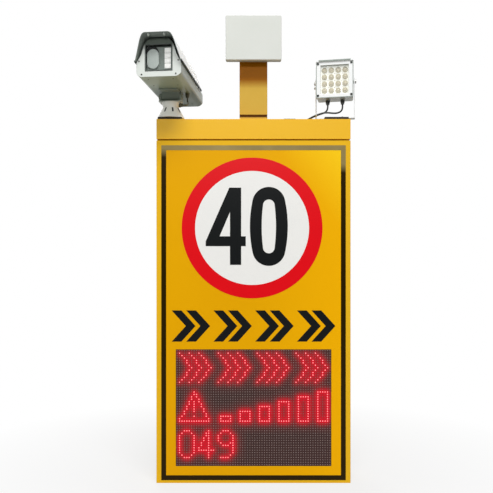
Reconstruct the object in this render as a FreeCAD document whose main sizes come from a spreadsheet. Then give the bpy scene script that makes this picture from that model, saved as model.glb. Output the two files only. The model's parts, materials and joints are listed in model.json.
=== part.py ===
import FreeCAD, Part
import math
import os
import re
import Sketcher

# Radar speed sign, in millimetres. X runs to the viewer's right, the sign face looks
# along -Y, Z is up, and the origin is the middle of the cabinet's bottom.

SIZES = {
    # cabinet and sign panel
    "cabinet_width": 800,
    "cabinet_height": 1500,
    "cabinet_depth": 180,
    "sheet": 2,
    "header_height": 82.5,
    "seam_gap": 6,
    "panel_depth": 30,
    "rim_width": 28,
    "lip_width": 20,
    "panel_bolt_first": 150,
    "panel_bolt_pitch": 370,
    # small fasteners and fits
    "small_bolt_radius": 3,
    "bolt_clearance": 0.3,
    "bolt_grip": 8,
    "small_bolt_head_radius": 5.4,
    "small_bolt_head": 3.9,
    "weld_lap": 1,
    "slip_gap": 0.3,
    "running_gap": 0.05,
    # films on the panel
    "film": 0.5,
    "border_margin": 20,
    "border_bottom": 12,
    "border_width": 20,
    "disc_offset": -6,
    "disc_drop": 360.5,
    "ring_radius": 290,
    "ring_inner_radius": 235,
    "film_gap": 0.2,
    "numeral_top": 166,
    "numeral_foot": 152,
    "four_stem_left": 91,
    "four_stem_right": 45,
    "four_tip": 191,
    "four_bar_right": 26,
    "four_bar_top": 34.5,
    "four_bar_bottom": 75,
    "four_top_left": 94,
    "four_notch_top": 66,
    "four_notch_left": 134,
    "zero_offset": 69,
    "zero_lift": 6.5,
    "zero_half_width": 78,
    "zero_half_height": 162.5,
    "zero_end_radius": 68,
    "zero_eye_half_width": 29.5,
    "zero_eye_half_height": 111,
    "zero_eye_end_radius": 24,
    "chevron_fill": 0.607,
    "chevron_point": 58,
    "chevron_stroke": 40,
    "chevron_gap": 20,
    "chevron_seat": 0.46,
    "chevron_pitch": 172,
    # display
    "module_width": 320,
    "module_height": 160,
    "module_depth": 16,
    "module_gap": 0.4,
    "module_recess": 1,
    "module_rim": 12,
    "module_pocket": 6,
    "display_bottom": 70,
    "window_gap": 0.5,
    "rail_width": 30,
    "rail_depth": 20,
    "rail_overhang": 30,
    "rail_foot_gap": 2,
    # equipment behind the panel
    "plate_lift": 90,
    "plate_height": 600,
    "plate_front": -20,
    "plate_flange": 40,
    "supply_width": 115,
    "supply_height": 215,
    "supply_depth": 50,
    "supply_gap": 25,
    "processor_width": 220,
    "processor_height": 160,
    "processor_depth": 60,
    "card_width": 180,
    "card_height": 110,
    "card_depth": 30,
    "din_width": 500,
    "din_height": 35,
    "din_depth": 7.5,
    "din_level": 60,
    "breaker_width": 36,
    "arrester_width": 54,
    "terminal_width": 120,
    "device_height": 85,
    "device_depth": 55,
    "device_inset": 70,
    "device_gap": 36,
    "device_clearance": 55,
    "case_groove": 2,
    "device_groove": 4,
    "groove_lift": 14,
    # rear door, hinges and locks
    "door_margin": 12,
    "door_hinge_margin": 28,
    "door_depth": 8,
    "door_gap": 2,
    "gasket_width": 12,
    "gasket_inset": 3,
    "gasket_gap": 0.2,
    "hinge_pitch": 550,
    "hinge_radius": 6,
    "hinge_pin_radius": 3,
    "hinge_length": 40,
    "hinge_offset": 16,
    "hinge_stand": 7,
    "hinge_split": 0.5,
    "hinge_plug": 2,
    "lock_inset": 70,
    "lock_pitch": 600,
    "lock_head_radius": 14,
    "lock_head": 4,
    "lock_radius": 9.5,
    "lock_plug_radius": 6,
    "lock_nut": 6,
    "lock_nut_radius": 14,
    "cam_length": 54,
    "cam_width": 20,
    "cam_thickness": 3.5,
    "cam_clearance": 1,
    "key_depth": 3,
    "louvre_length": 130,
    "louvre_pitch": 24,
    "louvre_slot": 8,
    "louvre_reach": 9,
    "louvre_drop": 14,
    "louvre_from_bottom": 180,
    "louvre_from_top": 260,
    # column flange in the bottom
    "flange_width": 280,
    "flange_depth": 110,
    "flange_plate": 8,
    "flange_hole_radius": 9,
    "flange_pitch_wide": 220,
    "flange_pitch_deep": 84,
    "flange_cable_radius": 28,
    # riser and radar
    "riser_width": 116,
    "riser_wall": 4,
    "riser_collar": 18,
    "riser_gap": 4,
    "riser_length": 378,
    "spigot_height": 80,
    "riser_bolt_radius": 5,
    "riser_bolt_lift": 45,
    "riser_bolt_head": 6,
    "riser_bolt_head_radius": 8.5,
    "radar_width": 229,
    "radar_height": 182,
    "radar_over": 21,
    "radar_case_depth": 20,
    "radar_cover_depth": 12,
    "radar_edge": 6,
    "radar_stand": 17,
    "radar_plate": 3,
    "radar_plate_width": 90,
    "radar_plate_height": 70,
    "radar_ear": 4,
    "radar_ear_radius": 6,
    "radar_pin_radius": 2.5,
    "radar_lug_gap": 0.3,
    # brackets on the cabinet's top
    "pad_width": 100,
    "pad_height": 14,
    "bracket_depth": -20,
    "bracket_bolt_radius": 4,
    "bracket_bolt_head": 5.5,
    "bracket_bolt_head_radius": 6.4,
    "bracket_bolt_end": 2,
    # camera bracket
    "camera_inset": 52,
    "camera_yaw": -6.3,
    "base_radius": 57,
    "base_edge": 4,
    "neck_radius": 33,
    "base_height": 48,
    "base_bolt_circle": 34,
    "base_bolt_depth": 10,
    "swivel_radius": 8,
    "swivel_length": 24,
    "head_radius": 39,
    "head_height": 21.7,
    "yoke_half_width": 47,
    "yoke_half_depth": 25,
    "yoke_floor": 6,
    "cheek": 9,
    "cheek_radius": 17,
    "tilt_lift": 24,
    "tilt_bolt_radius": 5,
    "tilt_bolt_head_radius": 9,
    "tilt_bolt_head": 5,
    "saddle_radius": 15,
    "saddle_half_depth": 55,
    "saddle_half_width": 40,
    "saddle_lift": 18,
    "saddle_plate": 6,
    # camera housing
    "housing_front": 213,
    "housing_rear": 250,
    "housing_wall": 3,
    "housing_foot_half": 73,
    "housing_half_width": 89,
    "housing_chamfer": 12,
    "housing_shoulder": 55,
    "housing_waist_half": 70,
    "housing_waist": 88,
    "housing_brow_half": 59,
    "housing_brow": 127,
    "housing_roof_half": 40,
    "housing_height": 150,
    "front_plate": 4,
    "rear_cap": 6,
    "window_half_width": 52.5,
    "window_half_height": 50.5,
    "window_lift": 75,
    "window_glass": 3,
    "module_face_back": 12,
    "face_inset": 4,
    "camera_body_length": 120,
    "camera_block_half_width": 37,
    "camera_block_half_height": 30,
    "camera_tray_half_width": 26,
    "lens_offset": -23,
    "lens_lift": 82,
    "lens_radius": 26,
    "lens_length": 8,
    "lens_well_radius": 22,
    "lens_well_depth": 3,
    "light_bar_offset": 33,
    "light_bar_half_width": 13,
    "light_bar_half_height": 41,
    "light_bar_depth": 4,
    "shield_sheet": 2,
    "shield_front": 255,
    "shield_rear": 205,
    "shield_skirt_half": 92,
    "shield_fold_half": 86,
    "shield_eave_half": 66,
    "shield_skirt": 58,
    "shield_fold": 76,
    "shield_eave": 140,
    "shield_roof": 160,
    "shield_roof_half": 54,
    "spacer_radius": 6,
    "spacer_half_gauge": 30,
    "spacer_inset": 40,
    "gland_radius": 9,
    "gland_length": 18,
    "gland_nose": 7.2,
    "gland_nose_radius": 7.2,
    "head_gland_sink": 6,
    "head_gland_body": 9,
    "camera_gland_x": 62,
    "camera_gland_y": 40,
    "head_gland_lift": 11,
    "cable_diameter": 7,
    # lamp
    "lamp_inset": 54,
    "lamp_yaw": -11,
    "lamp_half_width": 75,
    "lamp_lift": 81,
    "lamp_height": 159,
    "lamp_front": 35,
    "lamp_back": 25,
    "pivot_lift": 75,
    "fin_depth": 25,
    "fin_thickness": 3,
    "fin_pitch": 16,
    "fin_margin": 10,
    "bezel_margin": 2.5,
    "bezel_depth": 10,
    "hood_reach": 3,
    "hood_thickness": 9,
    "lamp_window_half_width": 58.5,
    "lamp_window_height": 121,
    "lamp_window_lift": 16,
    "lamp_glass": 4,
    "lamp_glass_back": 3,
    "lamp_cavity": 10,
    "lamp_wall": 5,
    "driver_half_width": 48,
    "driver_height": 104,
    "board": 2,
    "emitter_radius": 10,
    "emitter_height": 6,
    "emitter_pitch": 28.6,
    "strap": 3,
    "strap_half_width": 15,
    "strap_inside": 79,
    "strap_over": 14,
    "strap_bolt_gauge": 30,
    "strap_nut": 6,
    "pivot_bolt_radius": 4,
    "pivot_bolt_head_radius": 8,
    "pivot_bolt_head": 6,
    "pivot_bolt_depth": 15,
    "boss_radius": 8,
    "clamp_drop": 19,
    "clamp_bolt_radius": 3.4,
    "clamp_slot_radius": 4.3,
    "clamp_slot_half": 13.2,
    "clamp_head_radius": 5.8,
    "lamp_gland_gauge": 31,
    # cable entry on the cabinet's top
    "entry_left": 130,
    "entry_front": -4,
    "entry_width": 50,
    "entry_depth": 50,
    "entry_height": 22,
    "entry_gland_radius": 7,
    "entry_gland_length": 12,
    "entry_gland_first": 14,
    "entry_gland_pitch": 22,
    "entry_gland_lift": 11,
}

# How many there are of each piece that repeats.
PANEL_BOLTS_A_SIDE = 4
CHEVRON_PAIRS = 4
MODULE_COLUMNS = 2
MODULE_ROWS = 3
LOUVRES_A_BANK = 4
HINGES = 3
FINS = 9
EMITTER_ROWS = 4
ENTRY_GLANDS = 2

# Share of the shorter run that each arc of a cable takes up.
ARC_SHARE = 0.45

# Lines of the layout that several pieces share.
FRONT = "(-cabinet_depth / 2)"
REAR = "(cabinet_depth / 2)"
RIM_FACE = f"({FRONT} + panel_depth)"
PANEL_TOP = "(cabinet_height - header_height - seam_gap)"
DISC_Z = f"({PANEL_TOP} - disc_drop)"
FILM_FACE = f"({FRONT} - film)"
DISPLAY_WIDTH = f"({MODULE_COLUMNS} * module_width)"
DISPLAY_HEIGHT = f"({MODULE_ROWS} * module_height)"
DISPLAY_TOP = f"(display_bottom + {DISPLAY_HEIGHT})"
CHEVRON_SPACE = f"({DISC_Z} - ring_radius - {DISPLAY_TOP})"
PLATE_BOTTOM = f"({DISPLAY_TOP} + plate_lift)"
MODULE_BACK = f"({FRONT} + module_recess + module_depth)"
PLATE_FACE = "(plate_front + sheet)"
DOOR_INNER = f"({REAR} + door_gap + door_depth - sheet)"
DOOR_OUTER = f"({REAR} + door_gap + door_depth)"
DOOR_LEFT = "(-cabinet_width / 2 + door_hinge_margin)"
DOOR_RIGHT = "(cabinet_width / 2 - door_margin)"
HINGE_X = f"({DOOR_LEFT} - hinge_offset + hinge_radius)"
HINGE_Y = f"({REAR} + hinge_stand)"
LOCK_X = "(cabinet_width / 2 - lock_inset)"
CAM_FACE = f"({REAR} - sheet - cam_clearance)"
RISER_FOOT = "(cabinet_height + riser_collar + riser_gap)"
RISER_TOP = f"({RISER_FOOT} + riser_length)"
RISER_FRONT = "(-riser_width / 2)"
RADAR_BOTTOM = f"({RISER_TOP} + radar_over - radar_height)"
RADAR_BACK = f"({RISER_FRONT} - radar_stand)"
RADAR_AXIS_Y = f"({RISER_FRONT} - radar_plate - radar_ear_radius - slip_gap)"
RADAR_AXIS_Z = f"({RADAR_BOTTOM} + radar_height / 2)"
PAD_TOP = "(cabinet_height + pad_height)"
CAMERA_X = "(-cabinet_width / 2 + camera_inset)"
LAMP_X = "(cabinet_width / 2 - lamp_inset)"
HEAD_FOOT = f"({PAD_TOP} + base_height + slip_gap)"
YOKE_FOOT = f"({HEAD_FOOT} + head_height)"
TILT_Z = f"({YOKE_FOOT} + tilt_lift)"
HOUSING_FOOT = f"({TILT_Z} + saddle_lift + saddle_plate)"
YOKE_INSIDE = "(yoke_half_width - cheek)"
LAMP_BOTTOM = f"({PAD_TOP} + lamp_lift)"
LAMP_TOP = f"({LAMP_BOTTOM} + lamp_height)"
LAMP_PIVOT = f"({LAMP_BOTTOM} + pivot_lift)"

doc = FreeCAD.newDocument("radar_speed_sign")
sheet_of_sizes = doc.addObject("Spreadsheet::Sheet", "sizes")
for row, (size_name, size) in enumerate(SIZES.items(), start=1):
    sheet_of_sizes.set(f"A{row}", size_name)
    sheet_of_sizes.set(f"B{row}", str(size))
    sheet_of_sizes.setAlias(f"B{row}", size_name)
doc.recompute()

ALONG = {
    "x": FreeCAD.Rotation(FreeCAD.Vector(0, 1, 0), 90),
    "y": FreeCAD.Rotation(FreeCAD.Vector(1, 0, 0), -90),
    "z": FreeCAD.Rotation(),
}
nodes = []


def on_sheet(formula):
    """Turn a formula of size names into an expression that reads the sheet."""
    def sheet_name(word):
        return "sizes." + word.group() if word.group() in SIZES else word.group()
    return re.sub(r"[a-z][a-z_]*", sheet_name, str(formula))


def measure(formula):
    """The present value of a formula of size names."""
    return float(sheet_of_sizes.evalExpression(on_sheet(formula)))


def bind(thing, **formulas):
    for name, formula in formulas.items():
        thing.setExpression(name, on_sheet(formula))


def put(thing, x=0, y=0, z=0):
    for axis, formula in zip("xyz", (x, y, z)):
        thing.setExpression("Placement.Base." + axis, on_sheet(formula))
    return thing


def turn(thing, x, y, yaw):
    """Set a piece that was drawn about the origin on its upright axis, turned by its yaw."""
    spot = f"vector({on_sheet(x)}; {on_sheet(y)}; 0)"
    swing = f"rotation(vector(0; 0; 1); {on_sheet(yaw)})"
    thing.setExpression("Placement", f"placement({spot}; {swing})")
    return thing


def block(name, length, corner):
    thing = doc.addObject("Part::Box", name)
    bind(thing, Length=length[0], Width=length[1], Height=length[2])
    return put(thing, *corner)


def rod(name, radius, length, start, along="z"):
    thing = doc.addObject("Part::Cylinder", name)
    thing.Placement = FreeCAD.Placement(FreeCAD.Vector(), ALONG[along])
    bind(thing, Radius=radius, Height=length)
    return put(thing, *start)


def fuse(name, *pieces):
    thing = doc.addObject("Part::MultiFuse", name)
    thing.Shapes = list(pieces)
    return thing


def cut(name, base, *tools):
    thing = doc.addObject("Part::Cut", name)
    thing.Base = base
    thing.Tool = tools[0] if len(tools) == 1 else fuse(name + "_cutters", *tools)
    return thing


def group(name, pieces):
    thing = doc.addObject("Part::Compound", name)
    thing.Links = list(pieces)
    return thing


def keep(*things):
    """List finished sub-parts, each of which is written under its own label."""
    nodes.extend(things)


def start_body(name, plane):
    body = doc.addObject("PartDesign::Body", name)
    sketch = body.newObject("Sketcher::SketchObject", name + "_sketch")
    base = next(f for f in body.Origin.OriginFeatures if f.Role == plane)
    sketch.AttachmentSupport = [(base, "")]
    sketch.MapMode = "FlatFace"
    return body, sketch


def outline(sketch, corners):
    """Draw a closed outline of straight edges, each corner held by two sizes."""
    spots = [FreeCAD.Vector(measure(across), measure(up), 0) for across, up in corners]
    first = sketch.GeometryCount
    count = len(spots)
    for i in range(count):
        sketch.addGeometry(Part.LineSegment(spots[i], spots[(i + 1) % count]), False)
    for i in range(count):
        after = first + (i + 1) % count
        sketch.addConstraint(Sketcher.Constraint("Coincident", first + i, 2, after, 1))
    for i, corner in enumerate(corners):
        for kind, formula, amount in zip(("DistanceX", "DistanceY"), corner, spots[i]):
            held = Sketcher.Constraint(kind, -1, 1, first + i, 1, amount)
            index = sketch.addConstraint(held)
            sketch.setExpression(f"Constraints[{index}]", on_sheet(formula))


def padded(name, plane, outlines, length, backwards=False):
    """A plate or bar: outlines on an origin plane, drawn out to a length."""
    body, sketch = start_body(name, plane)
    for corners in outlines:
        outline(sketch, corners)
    pad = body.newObject("PartDesign::Pad", name + "_pad")
    pad.Profile = sketch
    pad.Reversed = backwards
    bind(pad, Length=length)
    sketch.Visibility = False
    return body


def turned(name, corners):
    """A turned piece: a half outline of radius and height, spun about the upright axis."""
    body, sketch = start_body(name, "XZ_Plane")
    outline(sketch, corners)
    spin = body.newObject("PartDesign::Revolution", name + "_spin")
    spin.Profile = sketch
    spin.ReferenceAxis = (sketch, ["V_Axis"])
    spin.Angle = 360
    return body


def mirrored(half):
    """A closed outline from its right half, listed from the bottom to the top."""
    return half + [(f"-({across})", up) for across, up in reversed(half)]


# Cabinet shell: a welded sheet box, deeper at the header than behind the sign panel, open at
# the back, where a flat frame is welded on.
shell_outer = fuse(
    "shell_outer",
    block("shell_body", ("cabinet_width", "cabinet_depth - panel_depth - sheet", "cabinet_height"),
          ("-cabinet_width / 2", RIM_FACE, 0)),
    block("shell_header", ("cabinet_width", "cabinet_depth / 2", "header_height"),
          ("-cabinet_width / 2", FRONT, "cabinet_height - header_height")),
)
shell_inner = fuse(
    "shell_inner",
    block("body_space",
          ("cabinet_width - 2 * sheet", "cabinet_depth - panel_depth",
           "cabinet_height - 2 * sheet"),
          ("-cabinet_width / 2 + sheet", f"{RIM_FACE} + sheet", "sheet")),
    block("header_space",
          ("cabinet_width - 2 * sheet", "cabinet_depth / 2", "header_height - 2 * sheet"),
          ("-cabinet_width / 2 + sheet", f"{FRONT} + sheet",
           "cabinet_height - header_height + sheet")),
    block("front_opening",
          ("cabinet_width - 2 * rim_width", "panel_depth",
           "cabinet_height - header_height - 2 * rim_width"),
          ("-cabinet_width / 2 + rim_width", RIM_FACE, "rim_width")),
)

# Bolts that hold the sign panel's lip to the shell's front rim, from inside.
panel_bolts = []
panel_bolt_holes = []
for side, sign in (("left", "-"), ("right", "")):
    for number in range(PANEL_BOLTS_A_SIDE):
        across = f"{sign}(cabinet_width / 2 - sheet - lip_width / 2)"
        up = f"panel_bolt_first + {number} * panel_bolt_pitch"
        name = f"panel_bolt_{side}_{number + 1}"
        shank = rod(name + "_shank", "small_bolt_radius", "bolt_grip + sheet",
                    (across, f"{RIM_FACE} + sheet - bolt_grip", up), "y")
        head = rod(name + "_head", "small_bolt_head_radius", "small_bolt_head",
                   (across, f"{RIM_FACE} + sheet", up), "y")
        panel_bolts.append(fuse(name, shank, head))
        panel_bolt_holes.append(
            rod(name + "_hole", "small_bolt_radius + bolt_clearance", "4 * sheet",
                (across, f"{RIM_FACE} - 2 * sheet", up), "y"))

# Column flange in the bottom: a welded doubler, four bolt holes and a cable hole.
flange_holes = []
for across in ("-flange_pitch_wide / 2", "flange_pitch_wide / 2"):
    for back in ("-flange_pitch_deep / 2", "flange_pitch_deep / 2"):
        flange_holes.append(rod(f"flange_hole_{len(flange_holes) + 1}", "flange_hole_radius",
                                "4 * (sheet + flange_plate)",
                                (across, back, "-sheet - flange_plate")))
flange_holes.append(rod("flange_cable_hole", "flange_cable_radius", "4 * (sheet + flange_plate)",
                        (0, 0, "-sheet - flange_plate")))
column_cutters = group("column_cutters", flange_holes)
flange_doubler = block("flange_doubler", ("flange_width", "flange_depth", "flange_plate"),
                       ("-flange_width / 2", "-flange_depth / 2", "sheet"))

# Bolts that hold the camera's base and the lamp's strap, put in from under the top sheet.
bracket_bolts = []
camera_bolt_holes = []
for number, (right, back) in enumerate(((1, 1), (-1, 1), (-1, -1), (1, -1)), start=1):
    across = f"{CAMERA_X} + {right} * base_bolt_circle * cos(45)"
    depth = f"bracket_depth + {back} * base_bolt_circle * cos(45)"
    name = f"camera_bolt_{number}"
    shank = rod(name + "_shank", "bracket_bolt_radius", "sheet + pad_height + base_bolt_depth",
                (across, depth, "cabinet_height - sheet"))
    head = rod(name + "_head", "bracket_bolt_head_radius", "bracket_bolt_head",
               (across, depth, "cabinet_height - sheet - bracket_bolt_head"))
    bracket_bolts.append(fuse(name, shank, head))
    camera_bolt_holes.append(
        rod(name + "_hole", "bracket_bolt_radius + bolt_clearance",
            "2 * sheet + pad_height + base_bolt_depth + bolt_clearance",
            (across, depth, "cabinet_height - 2 * sheet")))
camera_cutters = group("camera_cutters", camera_bolt_holes)
lamp_bolt_shapes = []
lamp_bolt_holes = []
for side, sign in (("left", "-"), ("right", "")):
    across = f"{sign}strap_bolt_gauge"
    name = f"lamp_bolt_{side}"
    shank = rod(name + "_shank", "bracket_bolt_radius",
                "sheet + pad_height + strap + strap_nut + bracket_bolt_end",
                (across, 0, "cabinet_height - sheet"))
    head = rod(name + "_head", "bracket_bolt_head_radius", "bracket_bolt_head",
               (across, 0, "cabinet_height - sheet - bracket_bolt_head"))
    nut = rod(name + "_nut", "bracket_bolt_head_radius", "strap_nut",
              (across, 0, f"{PAD_TOP} + strap"))
    lamp_bolt_shapes.append(fuse(name, shank, head, nut))
    lamp_bolt_holes.append(
        rod(name + "_hole", "bracket_bolt_radius + bolt_clearance", "pad_height + 6 * strap",
            (across, 0, "cabinet_height - 2 * strap")))
lamp_bolts = turn(group("lamp_bolts", lamp_bolt_shapes), LAMP_X, "bracket_depth", "lamp_yaw")
lamp_cutters = turn(group("lamp_cutters", lamp_bolt_holes), LAMP_X, "bracket_depth", "lamp_yaw")

cabinet_shell = cut(
    "cabinet_shell",
    fuse("shell_weldment", cut("shell_box", shell_outer, shell_inner), flange_doubler),
    *panel_bolt_holes,
    column_cutters,
    camera_cutters,
    lamp_cutters,
)

# Sign panel: a folded tray whose lip turns in against the shell's rim.
front_panel = cut(
    "front_panel",
    block("panel_outer", ("cabinet_width", "panel_depth", PANEL_TOP),
          ("-cabinet_width / 2", FRONT, 0)),
    block("panel_space",
          ("cabinet_width - 2 * sheet", "panel_depth - 2 * sheet", f"{PANEL_TOP} - 2 * sheet"),
          ("-cabinet_width / 2 + sheet", f"{FRONT} + sheet", "sheet")),
    block("panel_mouth",
          ("cabinet_width - 2 * sheet - 2 * lip_width", "panel_depth",
           f"{PANEL_TOP} - 2 * sheet - 2 * lip_width"),
          ("-cabinet_width / 2 + sheet + lip_width", f"{FRONT} + panel_depth / 2",
           "sheet + lip_width")),
    block("panel_window",
          (f"{DISPLAY_WIDTH} + 2 * window_gap", "panel_depth", f"{DISPLAY_HEIGHT} + 2 * window_gap"),
          (f"-{DISPLAY_WIDTH} / 2 - window_gap", f"{FRONT} - panel_depth / 2",
           "display_bottom - window_gap")),
    *panel_bolt_holes,
)
keep(cabinet_shell, front_panel)

# Films on the panel: border, ring, disc, numerals and chevrons.
border_film = cut(
    "border_film",
    block("border_outer",
          ("cabinet_width - 2 * border_margin", "film", f"{PANEL_TOP} - border_margin - border_bottom"),
          ("-cabinet_width / 2 + border_margin", FILM_FACE, "border_bottom")),
    block("border_inner",
          ("cabinet_width - 2 * border_margin - 2 * border_width", "3 * film",
           f"{PANEL_TOP} - border_margin - border_bottom - 2 * border_width"),
          ("-cabinet_width / 2 + border_margin + border_width", f"{FILM_FACE} - film",
           "border_bottom + border_width")),
)
ring_film = cut(
    "ring_film",
    rod("ring_outer", "ring_radius", "film", ("disc_offset", FILM_FACE, DISC_Z), "y"),
    rod("ring_hole", "ring_inner_radius", "3 * film",
        ("disc_offset", f"{FILM_FACE} - film", DISC_Z), "y"),
)
face_film = rod("face_film", "ring_inner_radius - film_gap", "film",
                ("disc_offset", FILM_FACE, DISC_Z), "y")
numeral_four = padded("numeral_four", "XZ_Plane", [
    [("-four_top_left", "numeral_top"), ("-four_stem_right", "numeral_top"),
     ("-four_stem_right", "-four_bar_top"), ("-four_bar_right", "-four_bar_top"),
     ("-four_bar_right", "-four_bar_bottom"), ("-four_stem_right", "-four_bar_bottom"),
     ("-four_stem_right", "-numeral_foot"), ("-four_stem_left", "-numeral_foot"),
     ("-four_stem_left", "-four_bar_bottom"), ("-four_tip", "-four_bar_bottom"),
     ("-four_tip", "-(four_bar_top + four_bar_bottom) / 2")],
    [("-four_stem_left", "four_notch_top"), ("-four_stem_left", "-four_bar_top"),
     ("-four_notch_left", "-four_bar_top")],
], "film")
put(numeral_four, "disc_offset", FILM_FACE, DISC_Z)


def oval_face(half_width, half_height, end_radius):
    """An upright oval of four tangent arcs: two tight ends and two shallow sides."""
    wide, tall, tight = measure(half_width), measure(half_height), measure(end_radius)
    reach = tall - tight
    shallow = (wide ** 2 - tight ** 2 + reach ** 2) / (2 * (wide - tight))
    lean = math.atan2(reach, shallow - wide)
    across = (shallow * math.cos(lean)) - (shallow - wide)
    up = shallow * math.sin(lean)
    spots = [(across, up), (0, tall), (-across, up), (-wide, 0),
             (-across, -up), (0, -tall), (across, -up), (wide, 0)]
    points = [FreeCAD.Vector(x, 0, z) for x, z in spots]
    count = len(points)
    arcs = [Part.Arc(points[i], points[i + 1], points[(i + 2) % count]) for i in range(0, count, 2)]
    return Part.Face(Part.Wire([arc.toShape() for arc in arcs]))


zero_face = oval_face("zero_half_width", "zero_half_height", "zero_end_radius")
zero_eye = oval_face("zero_eye_half_width", "zero_eye_half_height", "zero_eye_end_radius")
numeral_zero = doc.addObject("Part::Feature", "numeral_zero")
numeral_zero.Shape = zero_face.cut(zero_eye).extrude(FreeCAD.Vector(0, -measure("film"), 0))
put(numeral_zero, "disc_offset + zero_offset", FILM_FACE, f"{DISC_Z} + zero_lift")
chevrons = []
for number in range(2 * CHEVRON_PAIRS):
    middle = f"({number // 2 - (CHEVRON_PAIRS - 1) / 2}) * chevron_pitch"
    shift = f"({number % 2 - 0.5}) * (chevron_stroke + chevron_gap)"
    left = "-(chevron_point + chevron_stroke) / 2"
    half = f"chevron_fill * {CHEVRON_SPACE} / 2"
    chevron = padded(f"chevron_{number + 1}", "XZ_Plane", [[
        (left, half),
        (f"{left} + chevron_stroke", half),
        (f"{left} + chevron_stroke + chevron_point", 0),
        (f"{left} + chevron_stroke", f"-{half}"),
        (left, f"-{half}"),
        (f"{left} + chevron_point", 0)]], "film")
    chevrons.append(put(chevron, f"{middle} + {shift}", FRONT,
                        f"{DISPLAY_TOP} + chevron_seat * {CHEVRON_SPACE}"))
numeral_film = group("numeral_film", [numeral_four, numeral_zero])
keep(border_film, ring_film, face_film, numeral_film, group("chevron_film", chevrons))

# Display: six potted modules on three upright rails.
for number in range(MODULE_COLUMNS * MODULE_ROWS):
    column = number % MODULE_COLUMNS
    level = MODULE_ROWS - 1 - number // MODULE_COLUMNS
    left = f"{column} * module_width - {DISPLAY_WIDTH} / 2 + module_gap / 2"
    low = f"display_bottom + {level} * module_height + module_gap / 2"
    module_front = f"{FRONT} + module_recess"
    name = f"led_module_{number + 1}"
    keep(cut(
        name,
        block(name + "_block",
              ("module_width - module_gap", "module_depth", "module_height - module_gap"),
              (left, module_front, low)),
        block(name + "_pocket",
              ("module_width - module_gap - 2 * module_rim", "2 * module_pocket",
               "module_height - module_gap - 2 * module_rim"),
              (f"{left} + module_rim", f"{MODULE_BACK} - module_pocket", f"{low} + module_rim")),
    ))
module_rails = []
for name, across in (("left", f"-{DISPLAY_WIDTH} / 2"), ("middle", "-rail_width / 2"),
                     ("right", f"{DISPLAY_WIDTH} / 2 - rail_width")):
    low = "display_bottom - rail_overhang"
    bar = block(f"rail_{name}_bar",
                ("rail_width", "rail_depth", f"{DISPLAY_HEIGHT} + 2 * rail_overhang"),
                (across, MODULE_BACK, low))
    feet = []
    for end, level in (("foot", low), ("head", f"{DISPLAY_TOP} + rail_foot_gap")):
        feet.append(block(f"rail_{name}_{end}",
                          ("rail_width", "module_depth + module_recess - sheet + weld_lap",
                           "rail_overhang - rail_foot_gap"),
                          (across, f"{FRONT} + sheet", level)))
    module_rails.append(fuse(f"module_rail_{name}", bar, *feet))
keep(group("module_rails", module_rails))

# Equipment plate across the cabinet, and what is screwed to its back.
plate_width = "cabinet_width - 2 * sheet"
equipment_plate = cut(
    "equipment_plate",
    block("plate_outer", (plate_width, "plate_flange", "plate_height"),
          ("-cabinet_width / 2 + sheet", "plate_front", PLATE_BOTTOM)),
    block("plate_space", ("cabinet_width - 4 * sheet", "plate_flange", "2 * plate_height"),
          ("-cabinet_width / 2 + 2 * sheet", PLATE_FACE, f"{PLATE_BOTTOM} - plate_height / 2")),
)
rail_level = f"{PLATE_BOTTOM} + din_level"
device_level = f"{rail_level} + din_height / 2 - device_height / 2"
processor_level = f"{device_level} + device_height + device_clearance"
supply_level = f"{processor_level} + processor_height + supply_gap"


def boxed_device(name, length, corner, groove):
    """A device case with a shallow groove across its face."""
    width, depth = length[:2]
    x, y, z = corner
    case = block(name + "_case", length, corner)
    channel = block(name + "_channel", (f"2 * {width}", f"2 * {groove}", groove),
                    (f"{x} - {width} / 2", f"{y} + {depth} - {groove}", f"{z} + groove_lift"))
    return cut(name, case, channel)


supply_size = ("supply_width", "supply_depth", "supply_height")
power_supplies = group("power_supplies", [
    boxed_device("power_supply_left", supply_size,
                 ("-supply_gap / 2 - supply_width", PLATE_FACE, supply_level), "case_groove"),
    boxed_device("power_supply_right", supply_size,
                 ("supply_gap / 2", PLATE_FACE, supply_level), "case_groove")])
device_face = f"{PLATE_FACE} + din_depth"
keep(
    equipment_plate,
    power_supplies,
    boxed_device("speed_processor", ("processor_width", "processor_depth", "processor_height"),
                 ("-supply_gap - processor_width", PLATE_FACE, processor_level), "case_groove"),
    boxed_device("display_controller", ("card_width", "card_depth", "card_height"),
                 ("supply_gap", PLATE_FACE, f"{supply_level} - supply_gap - card_height"),
                 "case_groove"),
    block("din_rail", ("din_width", "din_depth", "din_height"),
          ("-din_width / 2", PLATE_FACE, rail_level)),
    boxed_device("circuit_breaker", ("breaker_width", "device_depth", "device_height"),
                 ("-din_width / 2 + device_inset", device_face, device_level), "device_groove"),
    boxed_device("surge_arrester", ("arrester_width", "device_depth", "device_height"),
                 ("-din_width / 2 + device_inset + breaker_width + device_gap", device_face, device_level),
                 "device_groove"),
    boxed_device("terminal_block", ("terminal_width", "device_depth", "device_height"),
                 ("din_width / 2 - device_inset - terminal_width", device_face, device_level),
                 "device_groove"),
)

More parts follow.
